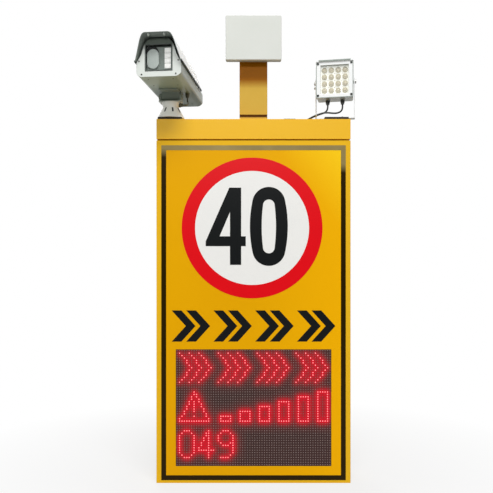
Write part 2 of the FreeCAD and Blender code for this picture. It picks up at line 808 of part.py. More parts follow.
# Rear service door: a shallow tray with louvres, a gasket, weld-on hinges and two locks.
door_bottom = "door_margin"
door_height = "(cabinet_height - 2 * door_margin)"
door_width = f"({DOOR_RIGHT} - {DOOR_LEFT})"
slots = []
blades = []
for bank, level in (("low", "louvre_from_bottom"), ("high", "cabinet_height - louvre_from_top")):
    for number in range(LOUVRES_A_BANK):
        sill = f"({level} + {number} * louvre_pitch)"
        name = f"louvre_{bank}_{number + 1}"
        slots.append(block(name + "_slot", ("louvre_length", "4 * door_depth", "louvre_slot"),
                           ("-louvre_length / 2", f"{REAR} - door_depth", sill)))
        blade = padded(name, "YZ_Plane", [[
            (DOOR_INNER, f"{sill} + louvre_slot"),
            (DOOR_OUTER, f"{sill} + louvre_slot + sheet"),
            (f"{DOOR_OUTER} + louvre_reach", f"{sill} + louvre_slot + sheet - louvre_drop"),
            (f"{DOOR_OUTER} + louvre_reach - sheet", f"{sill} + louvre_slot - louvre_drop")]],
            "louvre_length")
        blades.append(put(blade, "-louvre_length / 2"))
lock_levels = (("lower", "(cabinet_height - lock_pitch) / 2"), ("upper", "(cabinet_height + lock_pitch) / 2"))
lock_holes = [rod(f"lock_hole_{name}", "lock_radius + bolt_clearance", "4 * door_depth",
                  (LOCK_X, f"{REAR} - door_depth", level), "y") for name, level in lock_levels]
door_tray = cut(
    "door_tray",
    block("door_outer", (door_width, "door_depth", door_height),
          (DOOR_LEFT, f"{REAR} + door_gap", door_bottom)),
    block("door_space", (f"{door_width} - 2 * sheet", "door_depth", f"{door_height} - 2 * sheet"),
          (f"{DOOR_LEFT} + sheet", f"{DOOR_INNER} - door_depth", f"{door_bottom} + sheet")),
    *slots,
    *lock_holes,
)
rear_door = fuse("rear_door", door_tray, *blades)
gasket_edge = "sheet + gasket_inset"
door_gasket = cut(
    "door_gasket",
    block("gasket_outer",
          (f"{door_width} - 2 * ({gasket_edge})", f"{DOOR_INNER} - {REAR} - gasket_gap",
           f"{door_height} - 2 * ({gasket_edge})"),
          (f"{DOOR_LEFT} + {gasket_edge}", f"{REAR} + gasket_gap", f"{door_bottom} + {gasket_edge}")),
    block("gasket_space",
          (f"{door_width} - 2 * ({gasket_edge} + gasket_width)", "4 * door_depth",
           f"{door_height} - 2 * ({gasket_edge} + gasket_width)"),
          (f"{DOOR_LEFT} + {gasket_edge} + gasket_width", f"{REAR} - door_depth",
           f"{door_bottom} + {gasket_edge} + gasket_width")),
)
rim_bars = []
for side, edge in (("left", "-cabinet_width / 2"), ("right", "cabinet_width / 2 - rim_width")):
    rim_bars.append(block(f"rim_{side}", ("rim_width", "sheet", "cabinet_height"),
                          (edge, f"{REAR} - sheet", 0)))
for side, edge in (("bottom", 0), ("top", "cabinet_height - rim_width")):
    rim_bars.append(block(f"rim_{side}", ("cabinet_width - 2 * rim_width", "sheet", "rim_width"),
                          ("-cabinet_width / 2 + rim_width", f"{REAR} - sheet", edge)))
frame_halves = []
door_halves = []
for number in range(HINGES):
    low = f"(cabinet_height / 2 + ({number - (HINGES - 1) / 2}) * hinge_pitch - hinge_length)"
    high = f"({low} + hinge_length + hinge_split)"
    name = f"hinge_{number + 1}"
    frame_halves.append(fuse(
        f"{name}_frame_half",
        rod(f"{name}_frame_barrel", "hinge_radius", "hinge_length", (HINGE_X, HINGE_Y, low)),
        block(f"{name}_frame_web", ("hinge_offset / 2", "hinge_stand", "hinge_length"),
              (f"{HINGE_X} - hinge_offset / 2", REAR, low)),
        rod(f"{name}_pin", "hinge_pin_radius", "2 * hinge_length - hinge_plug", (HINGE_X, HINGE_Y, low)),
    ))
    door_halves.append(cut(
        f"{name}_door_half",
        fuse(
            f"{name}_door_solid",
            rod(f"{name}_door_barrel", "hinge_radius", "hinge_length", (HINGE_X, HINGE_Y, high)),
            block(f"{name}_door_web",
                  ("hinge_offset - hinge_radius", f"{DOOR_OUTER} - {HINGE_Y}", "hinge_length"),
                  (HINGE_X, HINGE_Y, high)),
        ),
        rod(f"{name}_bore", "hinge_pin_radius + running_gap", "3 * hinge_length", (HINGE_X, HINGE_Y, low)),
    ))
lock_housings = []
lock_cams = []
for name, level in lock_levels:
    lock_housings.append(cut(
        f"lock_housing_{name}",
        fuse(
            f"lock_solid_{name}",
            rod(f"lock_head_{name}", "lock_head_radius", "lock_head", (LOCK_X, DOOR_OUTER, level), "y"),
            rod(f"lock_barrel_{name}", "lock_radius", f"{DOOR_OUTER} - {CAM_FACE} - slip_gap + weld_lap",
                (LOCK_X, f"{CAM_FACE} + slip_gap", level), "y"),
            rod(f"lock_nut_{name}", "lock_nut_radius", "lock_nut",
                (LOCK_X, f"{DOOR_INNER} - lock_nut", level), "y"),
        ),
        rod(f"lock_bore_{name}", "lock_plug_radius + running_gap", "8 * door_depth",
            (LOCK_X, f"{REAR} - 4 * door_depth", level), "y"),
    ))
    plug = rod(f"lock_plug_{name}", "lock_plug_radius",
               f"{DOOR_OUTER} + lock_head - {CAM_FACE} + cam_thickness - running_gap",
               (LOCK_X, f"{CAM_FACE} - cam_thickness", level), "y")
    arm = block(f"cam_arm_{name}", ("cam_width", "cam_thickness", "cam_length"),
                (f"{LOCK_X} - cam_width / 2", f"{CAM_FACE} - cam_thickness", level))
    heel = rod(f"cam_heel_{name}", "cam_width / 2", "cam_thickness",
               (LOCK_X, f"{CAM_FACE} - cam_thickness", level), "y")
    key_way = block(f"key_way_{name}",
                    ("lock_plug_radius", "2 * key_depth", "lock_plug_radius / 3"),
                    (f"{LOCK_X} - lock_plug_radius / 2", f"{DOOR_OUTER} + lock_head - key_depth",
                     f"{level} - lock_plug_radius / 6"))
    lock_cams.append(cut(f"lock_cam_{name}", fuse(f"cam_solid_{name}", plug, arm, heel), key_way))
keep(rear_door, door_gasket, group("rear_frame", [*rim_bars, *frame_halves]),
     group("hinge_door_halves", door_halves), group("lock_housings", lock_housings), *lock_cams)

# Riser: a welded stub with a spigot and the capped square post over it.
spigot_width = "(riser_width - 2 * riser_wall - 2 * film_gap)"
riser_bolt_level = "cabinet_height + riser_collar + riser_bolt_lift"
riser_bolt_hole = rod("riser_bolt_hole", "riser_bolt_radius + bolt_clearance", "riser_width",
                      (0, 0, riser_bolt_level), "y")


def square_tube(name, width, wall, low, height):
    return cut(
        name,
        block(name + "_outer", (width, width, height), (f"-{width} / 2", f"-{width} / 2", low)),
        block(name + "_bore", (f"{width} - 2 * {wall}", f"{width} - 2 * {wall}", f"2 * {height}"),
              (f"-{width} / 2 + {wall}", f"-{width} / 2 + {wall}", f"{low} - {height} / 2")),
    )


riser_stub = cut(
    "riser_stub",
    fuse(
        "stub_solid",
        square_tube("stub_collar", "riser_width", "2 * riser_wall", "cabinet_height", "riser_collar"),
        square_tube("stub_spigot", spigot_width, "riser_wall", "cabinet_height",
                    "(riser_collar + spigot_height)"),
    ),
    riser_bolt_hole,
)
riser_post = cut(
    "riser_post",
    fuse(
        "post_weldment",
        square_tube("post_tube", "riser_width", "riser_wall", RISER_FOOT, "riser_length"),
        block("post_cap", ("riser_width", "riser_width", "riser_wall"),
              ("-riser_width / 2", "-riser_width / 2", f"{RISER_TOP} - riser_wall")),
    ),
    riser_bolt_hole,
)
riser_bolt = fuse(
    "riser_bolt",
    rod("riser_bolt_shank", "riser_bolt_radius", "4 * riser_wall",
        (0, "riser_width / 2 - 4 * riser_wall", riser_bolt_level), "y"),
    rod("riser_bolt_nut", "riser_bolt_head_radius", "2 * riser_wall - film_gap",
        (0, "riser_width / 2 - 4 * riser_wall - film_gap", riser_bolt_level), "y"),
    rod("riser_bolt_cap", "riser_bolt_head_radius", "riser_bolt_head",
        (0, "riser_width / 2", riser_bolt_level), "y"),
)
cabinet_bolts = group("cabinet_bolts", panel_bolts + bracket_bolts + [lamp_bolts, riser_bolt])
keep(riser_stub, riser_post, cabinet_bolts)

# Radar: a flat case and cover on a hinged bracket at the post's front.
radar_ears = []
for side, left in (("left", "-radar_plate_width / 2"), ("right", "radar_plate_width / 2 - radar_ear")):
    radar_ears.append(rod(f"radar_ear_{side}", "radar_ear_radius", "radar_ear",
                          (left, RADAR_AXIS_Y, RADAR_AXIS_Z), "x"))
    radar_ears.append(block(f"radar_web_{side}",
                            ("radar_ear", "radar_ear_radius + slip_gap", "2 * radar_ear_radius"),
                            (left, RADAR_AXIS_Y, f"{RADAR_AXIS_Z} - radar_ear_radius")))
radar_bracket = fuse(
    "radar_bracket",
    block("radar_base", ("radar_plate_width", "radar_plate", "radar_plate_height"),
          ("-radar_plate_width / 2", f"{RISER_FRONT} - radar_plate",
           f"{RADAR_AXIS_Z} - radar_plate_height / 2")),
    *radar_ears,
    rod("radar_pin", "radar_pin_radius", "radar_plate_width",
        ("-radar_plate_width / 2", RADAR_AXIS_Y, RADAR_AXIS_Z), "x"),
)
lug_half = "(radar_plate_width / 2 - radar_ear - radar_lug_gap)"
radar_case = cut(
    "radar_case",
    fuse(
        "radar_solid",
        block("radar_box", ("radar_width", "radar_case_depth", "radar_height"),
              ("-radar_width / 2", f"{RADAR_BACK} - radar_case_depth", RADAR_BOTTOM)),
        rod("radar_lug", "radar_ear_radius", f"2 * {lug_half}",
            (f"-{lug_half}", RADAR_AXIS_Y, RADAR_AXIS_Z), "x"),
        block("radar_lug_web",
              (f"2 * {lug_half}", f"{RADAR_AXIS_Y} - {RADAR_BACK}", "2 * radar_ear_radius"),
              (f"-{lug_half}", RADAR_BACK, f"{RADAR_AXIS_Z} - radar_ear_radius")),
    ),
    rod("radar_bore", "radar_pin_radius + running_gap", "radar_width",
        ("-radar_width / 2", RADAR_AXIS_Y, RADAR_AXIS_Z), "x"),
)
radar_front = f"({RADAR_BACK} - radar_case_depth)"
cover_block = block("cover_block", ("radar_width", "radar_cover_depth", "radar_height"),
                    ("-radar_width / 2", f"{radar_front} - radar_cover_depth", RADAR_BOTTOM))
radar_cover = doc.addObject("Part::Fillet", "radar_cover")
radar_cover.Base = cover_block
doc.recompute()
cover_edges = []
for index, edge in enumerate(cover_block.Shape.Edges, start=1):
    along_depth = edge.tangentAt(edge.FirstParameter).cross(FreeCAD.Vector(0, 1, 0)).Length
    if math.isclose(along_depth, 0, abs_tol=edge.Tolerance):
        cover_edges.append((index, measure("radar_edge"), measure("radar_edge")))
radar_cover.Edges = cover_edges
keep(radar_bracket, radar_case, radar_cover)

# Camera bracket: rubber pad, flared base, pan head with its yoke, and the tilting saddle.
bracket_pads = []
for name, across, holes in (("camera_pad", CAMERA_X, camera_cutters),
                            ("lamp_pad", LAMP_X, lamp_cutters)):
    pad_block = block(name + "_block", ("pad_width", "pad_width", "pad_height"),
                      (f"{across} - pad_width / 2", "bracket_depth - pad_width / 2", "cabinet_height"))
    bracket_pads.append(cut(name, pad_block, holes))
flare = turned("base_flare", [
    (0, 0), ("base_radius", 0), ("base_radius", "base_edge"),
    ("neck_radius", "base_height"), (0, "base_height")])
put(flare, CAMERA_X, "bracket_depth", PAD_TOP)
camera_base = cut(
    "camera_base",
    flare,
    camera_cutters,
    rod("swivel_bore", "swivel_radius + running_gap", "base_height",
        (CAMERA_X, "bracket_depth", f"{PAD_TOP} + base_height - swivel_length")),
)


def on_camera(thing):
    return turn(thing, CAMERA_X, "bracket_depth", "camera_yaw")


head_cone = turned("head_cone", [
    (0, 0), ("neck_radius", 0), ("head_radius", "head_height"), (0, "head_height")])
put(head_cone, 0, 0, HEAD_FOOT)
yoke_floor = block("yoke_base", ("2 * yoke_half_width", "2 * yoke_half_depth", "yoke_floor"),
                   ("-yoke_half_width", "-yoke_half_depth", YOKE_FOOT))
cheeks = []
for side, left in (("left", "-yoke_half_width"), ("right", YOKE_INSIDE)):
    cheeks.append(block(f"cheek_{side}", ("cheek", "2 * cheek_radius", "tilt_lift"),
                        (left, "-cheek_radius", YOKE_FOOT)))
    cheeks.append(rod(f"cheek_top_{side}", "cheek_radius", "cheek", (left, 0, TILT_Z), "x"))
tilt_bolt = fuse(
    "tilt_bolt",
    rod("tilt_shank", "tilt_bolt_radius", "2 * yoke_half_width", ("-yoke_half_width", 0, TILT_Z), "x"),
    rod("tilt_head", "tilt_bolt_head_radius", "tilt_bolt_head",
        ("-yoke_half_width - tilt_bolt_head", 0, TILT_Z), "x"),
    rod("tilt_nut", "tilt_bolt_head_radius", "tilt_bolt_head", ("yoke_half_width", 0, TILT_Z), "x"),
)
camera_pan_head = on_camera(fuse(
    "camera_pan_head",
    head_cone,
    rod("swivel", "swivel_radius", "swivel_length", (0, 0, f"{HEAD_FOOT} - swivel_length + slip_gap")),
    yoke_floor,
    *cheeks,
    tilt_bolt,
))
saddle_half = f"({YOKE_INSIDE} - slip_gap)"
camera_saddle = on_camera(cut(
    "camera_saddle",
    fuse(
        "saddle_solid",
        rod("saddle_barrel", "saddle_radius", f"2 * {saddle_half}", (f"-{saddle_half}", 0, TILT_Z), "x"),
        block("saddle_neck", (f"2 * {saddle_half}", "2 * saddle_radius", "saddle_lift"),
              (f"-{saddle_half}", "-saddle_radius", TILT_Z)),
        block("saddle_top", ("2 * saddle_half_width", "2 * saddle_half_depth", "saddle_plate"),
              ("-saddle_half_width", "-saddle_half_depth", f"{TILT_Z} + saddle_lift")),
    ),
    rod("saddle_bore", "tilt_bolt_radius + running_gap", "4 * yoke_half_width",
        ("-2 * yoke_half_width", 0, TILT_Z), "x"),
))
keep(group("bracket_pads", bracket_pads), camera_base, camera_pan_head, camera_saddle)

# Camera housing: a case with a waist under a folded sunshield, window plate in front.
case_section = mirrored([
    ("housing_foot_half", 0), ("housing_half_width", "housing_chamfer"),
    ("housing_half_width", "housing_shoulder"), ("housing_waist_half", "housing_waist"),
    ("housing_brow_half", "housing_brow"), ("housing_roof_half", "housing_height")])
bore_section = mirrored([
    ("housing_foot_half - housing_wall", "housing_wall"),
    ("housing_half_width - housing_wall", "housing_chamfer + housing_wall"),
    ("housing_half_width - housing_wall", "housing_shoulder - housing_wall / 3"),
    ("housing_waist_half - housing_wall", "housing_waist - housing_wall / 3"),
    ("housing_brow_half - housing_wall", "housing_brow - housing_wall / 3"),
    ("housing_roof_half - housing_wall / 2", "housing_height - housing_wall")])
window_section = [
    ("-window_half_width", "window_lift - window_half_height"),
    ("window_half_width", "window_lift - window_half_height"),
    ("window_half_width", "window_lift + window_half_height"),
    ("-window_half_width", "window_lift + window_half_height")]


def camera_plate(name, outlines, length, back_face):
    """A plate across the housing, from its back face towards the front."""
    plate = padded(name, "XZ_Plane", outlines, length)
    spot = f"vector({on_sheet(CAMERA_X)}; {on_sheet('bracket_depth')}; {on_sheet(HOUSING_FOOT)})"
    swing = f"rotation(vector(0; 0; 1); {on_sheet('camera_yaw')})"
    back = f"vector(0; {on_sheet(back_face)}; 0)"
    level = "rotation(vector(0; 0; 1); 0)"
    plate.setExpression("Placement", f"placement({spot}; {swing}) * placement({back}; {level})")
    return plate


camera_housing = camera_plate("camera_housing", [case_section, bore_section],
                              "housing_rear + housing_front - front_plate", "housing_rear")
camera_front_plate = camera_plate("camera_front_plate", [case_section, window_section],
                                  "front_plate", "-housing_front + front_plate")
camera_rear_cap = camera_plate("camera_rear_cap", [case_section], "rear_cap", "housing_rear + rear_cap")
pane_section = [(f"({across}) * (window_half_width - film_gap) / window_half_width", up)
                for across, up in window_section]
camera_window = camera_plate("camera_window", [pane_section], "window_glass", "-housing_front + front_plate")
shield_outer = mirrored([
    ("shield_skirt_half", "shield_skirt"), ("shield_fold_half", "shield_fold"),
    ("shield_eave_half", "shield_eave"), ("shield_roof_half", "shield_roof")])
shield_inner = mirrored([
    ("shield_skirt_half - shield_sheet", "shield_skirt"),
    ("shield_fold_half - shield_sheet", "shield_fold"),
    ("shield_eave_half - shield_sheet", "shield_eave - shield_sheet / 2"),
    ("shield_roof_half - shield_sheet / 2", "shield_roof - shield_sheet")])
shield_section = shield_outer + list(reversed(shield_inner))
shield_fold = camera_plate("shield_sheet_folded", [shield_section],
                           "shield_front + shield_rear", "shield_rear")
spacers = []
for side, across in (("left", "-spacer_half_gauge"), ("right", "spacer_half_gauge")):
    for end, along in (("front", "-housing_front + spacer_inset"),
                       ("rear", "shield_rear - spacer_inset")):
        spacers.append(rod(f"spacer_{end}_{side}", "spacer_radius",
                           "shield_roof - shield_sheet - housing_height",
                           (across, along, f"{HOUSING_FOOT} + housing_height")))
camera_sunshield = fuse("camera_sunshield", shield_fold, on_camera(group("shield_spacers", spacers)))
keep(camera_housing, camera_front_plate, camera_rear_cap, camera_window, camera_sunshield)

# Camera inside the housing: body on the floor, lens and light bar behind the window.
face_back = "(-housing_front + front_plate + module_face_back)"
body_half = "(window_half_width - 2 * film_gap)"
face_half = "(window_half_height - face_inset)"
window_middle = f"({HOUSING_FOOT} + window_lift)"
lens_level = f"{HOUSING_FOOT} + lens_lift"
camera_body = on_camera(fuse(
    "camera_body",
    block("camera_face", (f"2 * {body_half}", "front_plate", f"2 * {face_half}"),
          (f"-{body_half}", face_back, f"{window_middle} - {face_half}")),
    block("camera_block",
          ("2 * camera_block_half_width", "camera_body_length", "2 * camera_block_half_height"),
          ("-camera_block_half_width", face_back, f"{window_middle} - camera_block_half_height")),
    block("camera_tray",
          ("2 * camera_tray_half_width", "camera_body_length", "window_lift - housing_wall"),
          ("-camera_tray_half_width", face_back, f"{HOUSING_FOOT} + housing_wall")),
))
camera_lens = on_camera(cut(
    "camera_lens",
    rod("lens_barrel", "lens_radius", "lens_length",
        ("lens_offset", f"{face_back} - lens_length", lens_level), "y"),
    rod("lens_well", "lens_well_radius", "2 * lens_well_depth",
        ("lens_offset", f"{face_back} - lens_length - lens_well_depth", lens_level), "y"),
))
camera_light_bar = on_camera(group("camera_light_bar", [
    block("light_bar", ("2 * light_bar_half_width", "light_bar_depth", "2 * light_bar_half_height"),
          ("light_bar_offset - light_bar_half_width", f"{face_back} - light_bar_depth",
           f"{window_middle} - light_bar_half_height"))]))
keep(camera_body, camera_lens, camera_light_bar)


def upright_gland(name, spot, top):
    """A cable gland that hangs from a face: a body and a narrower nose below it."""
    return fuse(
        name,
        rod(name + "_body", "gland_radius", "gland_length - gland_nose",
            (*spot, f"{top} - gland_length + gland_nose")),
        rod(name + "_nose", "gland_nose_radius", "gland_length", (*spot, f"{top} - gland_length")),
    )


camera_gland = on_camera(group("camera_gland", [
    upright_gland("camera_gland_solid", ("camera_gland_x", "camera_gland_y"), HOUSING_FOOT)]))
head_gland_start = ("head_radius - head_gland_sink", 0, f"{HEAD_FOOT} + head_gland_lift")
pan_head_gland = on_camera(cut(
    "pan_head_gland",
    fuse(
        "head_gland_solid",
        rod("head_gland_case", "gland_radius", "head_gland_body", head_gland_start, "x"),
        rod("head_gland_nose", "gland_nose_radius", "gland_length", head_gland_start, "x"),
    ),
    head_cone,
))
keep(camera_gland, pan_head_gland)

# Lamp: a finned head in a U-shaped strap, with bezel, glass and sixteen emitters.


def on_lamp(thing):
    return turn(thing, LAMP_X, "bracket_depth", "lamp_yaw")


strap_reach = f"({LAMP_PIVOT} + strap_over - {PAD_TOP})"
strap_legs = []
for side, left in (("left", "-strap_inside - strap"), ("right", "strap_inside")):
    strap_legs.append(block(f"strap_leg_{side}", ("strap", "2 * strap_half_width", strap_reach),
                            (left, "-strap_half_width", PAD_TOP)))
strap_floor = block("strap_floor", ("2 * (strap_inside + strap)", "2 * strap_half_width", "strap"),
                    ("-strap_inside - strap", "-strap_half_width", PAD_TOP))
pivot_hole = rod("pivot_hole", "pivot_bolt_radius + running_gap", "4 * strap_inside",
                 ("-2 * strap_inside", 0, LAMP_PIVOT), "x")
clamp_level = f"{LAMP_PIVOT} - clamp_drop"
strap_bolt_holes = [rod(f"strap_hole_{side}", "bracket_bolt_radius + bolt_clearance", "4 * strap",
                        (f"{sign}strap_bolt_gauge", 0, f"{PAD_TOP} - strap"))
                    for side, sign in (("left", "-"), ("right", ""))]
clamp_slot = doc.addObject("Part::Torus", "clamp_slot")
clamp_slot.Placement = FreeCAD.Placement(FreeCAD.Vector(), ALONG["x"])
bind(clamp_slot, Radius1="clamp_drop", Radius2="clamp_slot_radius")
put(clamp_slot, "-strap_inside - strap / 2", 0, LAMP_PIVOT)
clamp_window = block("clamp_window",
                     ("4 * strap", "2 * clamp_slot_half", "clamp_drop + 2 * clamp_slot_radius"),
                     ("-strap_inside - 2 * strap", "-clamp_slot_half",
                      f"{clamp_level} - 2 * clamp_slot_radius"))
clamp_arc = doc.addObject("Part::Common", "clamp_arc")
clamp_arc.Base = clamp_slot
clamp_arc.Tool = clamp_window
lamp_bracket = on_lamp(cut(
    "lamp_bracket",
    fuse("strap_solid", strap_floor, *strap_legs),
    pivot_hole,
    clamp_arc,
    *strap_bolt_holes,
))
fins = []
fin_height = "lamp_height - 2 * fin_margin"
for number in range(FINS):
    fins.append(block(f"fin_{number + 1}", ("fin_thickness", "fin_depth + sheet", fin_height),
                      (f"({number - (FINS - 1) / 2}) * fin_pitch - fin_thickness / 2", "lamp_back - sheet",
                       f"{LAMP_BOTTOM} + fin_margin")))
window_low = f"({LAMP_BOTTOM} + lamp_window_lift)"
window_centre = f"({window_low} + lamp_window_height / 2)"
pivot_bores = [rod("pivot_bore", "pivot_bolt_radius", "4 * strap_inside",
                   ("-2 * strap_inside", 0, LAMP_PIVOT), "x"),
               rod("clamp_bore", "clamp_bolt_radius", "strap_inside",
                   ("-strap_inside - strap", 0, clamp_level), "x")]
lamp_core = block("lamp_core",
                  ("2 * (lamp_half_width - pivot_bolt_depth)", "2 * strap_half_width", "lamp_height"),
                  ("-lamp_half_width + pivot_bolt_depth", "-strap_half_width", LAMP_BOTTOM))
bolt_bores = cut("bolt_bores", fuse("bores", *pivot_bores), lamp_core)
boss_length = "strap_inside - lamp_half_width - slip_gap + weld_lap"
bosses = [rod("boss_left", "boss_radius", boss_length, ("-strap_inside + slip_gap", 0, LAMP_PIVOT), "x"),
          rod("boss_right", "boss_radius", boss_length, ("lamp_half_width - weld_lap", 0, LAMP_PIVOT), "x")]
lamp_housing = on_lamp(cut(
    "lamp_housing",
    fuse(
        "lamp_solid",
        block("lamp_block", ("2 * lamp_half_width", "lamp_front + lamp_back", "lamp_height"),
              ("-lamp_half_width", "-lamp_front", LAMP_BOTTOM)),
        *fins,
        *bosses,
    ),
    block("lamp_cavity_space",
          ("2 * lamp_window_half_width", "2 * lamp_cavity", "lamp_window_height"),
          ("-lamp_window_half_width", "-lamp_front - lamp_cavity", window_low)),
    block("driver_space",
          ("2 * driver_half_width", "lamp_front + lamp_back - lamp_wall", "driver_height"),
          ("-driver_half_width", "-lamp_front", f"{window_centre} - driver_height / 2")),
    bolt_bores,
))
bezel_front = "(-lamp_front - bezel_depth)"
bezel_half = "(lamp_half_width + bezel_margin)"
lamp_bezel = on_lamp(cut(
    "lamp_bezel",
    fuse(
        "bezel_solid",
        block("bezel_block", (f"2 * {bezel_half}", "bezel_depth", "lamp_height"),
              (f"-{bezel_half}", bezel_front, LAMP_BOTTOM)),
        block("bezel_hood", (f"2 * {bezel_half}", "hood_reach + bezel_depth", "hood_thickness"),
              (f"-{bezel_half}", f"{bezel_front} - hood_reach", f"{LAMP_TOP} - hood_thickness")),
    ),
    block("bezel_window", ("2 * lamp_window_half_width", "4 * bezel_depth", "lamp_window_height"),
          ("-lamp_window_half_width", f"{bezel_front} - bezel_depth", window_low)),
))
glass_half = "(lamp_window_half_width - film_gap)"
lamp_glass = on_lamp(group("lamp_glass", [
    block("lamp_pane", (f"2 * {glass_half}", "lamp_glass", "lamp_window_height - 2 * film_gap"),
          (f"-{glass_half}", "-lamp_front - lamp_glass_back - lamp_glass",
           f"{window_low} + film_gap"))]))
emitters = []
board_face = "(-lamp_front + lamp_cavity - board)"
for number in range(EMITTER_ROWS ** 2):
    across = f"({number % EMITTER_ROWS - (EMITTER_ROWS - 1) / 2}) * emitter_pitch"
    up = f"{window_centre} + ({number // EMITTER_ROWS - (EMITTER_ROWS - 1) / 2}) * emitter_pitch"
    emitters.append(rod(f"emitter_{number + 1}", "emitter_radius", "emitter_height + board / 2",
                        (across, f"{board_face} - emitter_height", up), "y"))
lamp_board = on_lamp(fuse(
    "lamp_board",
    block("board_plate", (f"2 * {glass_half}", "board", "lamp_window_height - 2 * film_gap"),
          (f"-{glass_half}", board_face, f"{window_low} + film_gap")),
    *emitters,
))
lamp_glands = on_lamp(group("lamp_glands", [
    upright_gland(f"lamp_gland_{side}", (f"{sign}lamp_gland_gauge", 0), LAMP_BOTTOM)
    for side, sign in (("left", "-"), ("right", ""))]))
pivot_shapes = []
bolt_start = "-strap_inside - strap - pivot_bolt_head"
bolt_length = "strap_inside + strap + pivot_bolt_head - lamp_half_width + pivot_bolt_depth"
for side, head_start, shank_start in (
        ("left", bolt_start, bolt_start),
        ("right", "strap_inside + strap", "lamp_half_width - pivot_bolt_depth")):
    pivot_shapes.append(fuse(
        f"pivot_bolt_{side}",
        rod(f"pivot_head_{side}", "pivot_bolt_head_radius", "pivot_bolt_head",
            (head_start, 0, LAMP_PIVOT), "x"),
        rod(f"pivot_shank_{side}", "pivot_bolt_radius", bolt_length, (shank_start, 0, LAMP_PIVOT), "x"),
    ))
pivot_shapes.append(fuse(
    "clamp_bolt",
    rod("clamp_head", "clamp_head_radius", "pivot_bolt_head", (bolt_start, 0, clamp_level), "x"),
    rod("clamp_shank", "clamp_bolt_radius", bolt_length, (bolt_start, 0, clamp_level), "x"),
))
lamp_pivots = on_lamp(group("lamp_pivots", pivot_shapes))
keep(lamp_bracket, lamp_housing, lamp_bezel, lamp_glass, lamp_board, lamp_glands, lamp_pivots)

# Cable entry: a low box on the cabinet's top with two glands in its right side.
entry_right = "(entry_left + entry_width)"
entry_glands = [
    rod(f"entry_gland_{number + 1}", "entry_gland_radius", "entry_gland_length + weld_lap",
        (f"{entry_right} - weld_lap", f"entry_front + entry_gland_first + {number} * entry_gland_pitch",
         "cabinet_height + entry_gland_lift"), "x")
    for number in range(ENTRY_GLANDS)]
cable_entry = fuse(
    "cable_entry",
    block("entry_box", ("entry_width", "entry_depth", "entry_height"),
          ("entry_left", "entry_front", "cabinet_height")),
    *entry_glands,
)
keep(cable_entry)

# Cables: straight runs joined by tangent arcs, as large as their runs allow.
CAMERA_CABLE = [
    (-297.3, -25.6, 1573.3), (-290.3, -26.3, 1573.3), (-283.3, -24.1, 1574.2), (-277.9, -18.0, 1576.6),
    (-275.9, -9.4, 1580.9), (-277.1, -0.8, 1587.0), (-279.8, 6.9, 1594.6), (-282.0, 12.9, 1603.8),
    (-282.0, 12.9, 1613.7),
]
LAMP_CABLE_LEFT = [
    (315.6, -14.1, 1576.7), (315.6, -14.1, 1565.5), (312.5, -16.5, 1554.0), (305.0, -19.8, 1545.0),
    (293.5, -23.4, 1539.0), (279.5, -26.4, 1534.0), (264.0, -27.2, 1528.5), (248.5, -22.5, 1522.0),
    (236.0, -12.0, 1516.0), (226.5, 2.0, 1512.5), (218.0, 16.0, 1511.2), (209.0, 27.0, 1510.6),
    (200.5, 32.0, 1511.0), (192.0, 32.0, 1511.0),
]
LAMP_CABLE_RIGHT = [
    (376.4, -25.9, 1576.7), (376.4, -25.9, 1565.5), (374.3, -27.2, 1554.0), (367.5, -28.8, 1545.0),
    (356.5, -30.6, 1539.5), (342.5, -32.4, 1537.5), (327.5, -33.8, 1538.0), (312.0, -34.6, 1539.5),
    (296.0, -35.0, 1538.5), (280.5, -35.2, 1534.5), (264.0, -35.0, 1528.5), (248.0, -31.5, 1521.5),
    (234.5, -23.5, 1515.5), (224.0, -12.5, 1512.3), (214.5, -1.0, 1511.2), (205.5, 7.6, 1510.6),
    (198.5, 10.0, 1511.0), (192.0, 10.0, 1511.0),
]


def cable(name, route):
    """A round cable along its route; prints the arcs' radii and the tube's volume check."""
    points = [FreeCAD.Vector(*spot) for spot in route]
    edges = []
    radii = []
    last = points[0]
    for before, corner, after in zip(points, points[1:], points[2:]):
        come, leave = corner - before, after - corner
        bend = come.getAngle(leave)
        setback = ARC_SHARE * min(come.Length, leave.Length)
        radius = setback / math.tan(bend / 2)
        come.normalize()
        leave.normalize()
        start, end = corner - come * setback, corner + leave * setback
        inward = leave - come
        inward.normalize()
        middle = corner + inward * (radius / math.cos(bend / 2) - radius)
        edges.append(Part.LineSegment(last, start).toShape())
        edges.append(Part.Arc(start, middle, end).toShape())
        radii.append(round(radius, 1))
        last = end
    edges.append(Part.LineSegment(last, points[-1]).toShape())
    path = Part.Wire(edges)
    ring = Part.Wire(Part.makeCircle(measure("cable_diameter / 2"), points[0], points[1] - points[0]))
    tube = doc.addObject("Part::Feature", name)
    tube.Shape = path.makePipeShell([ring], True, False)
    expected = math.pi * measure("cable_diameter / 2") ** 2 * path.Length
    print(name, "length", round(path.Length, 1), "radii", radii,
          "volume share", round(tube.Shape.Volume / expected, 4))
    return tube


keep(
    cable("camera_cable", CAMERA_CABLE),
    cable("lamp_cable_left", LAMP_CABLE_LEFT),
    cable("lamp_cable_right", LAMP_CABLE_RIGHT),
)

doc.recompute()
faults = [thing.Name for thing in doc.Objects if {"Invalid", "Error"} & set(thing.State)]
faults += [thing.Name for thing in nodes if thing.Shape.isNull() or not thing.Shape.isValid()]
if faults:
    raise SystemExit("faulty objects: " + ", ".join(sorted(set(faults))))
os.makedirs("parts", exist_ok=True)
for thing in nodes:
    thing.Shape.exportStep(f"parts/{thing.Label}.step")
print(len(nodes), "sub-parts written")
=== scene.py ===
# %% [markdown]
# # A radar speed sign
#
# The solids come from the sign's CAD model, at their true size and place. This lesson
# dresses them: it sets camera and light, lays the cables, mixes the finishes, rounds the
# edges of the sheet metal and builds what a CAD model leaves plain, such as the dots of
# the display and the lenses of the lamp.

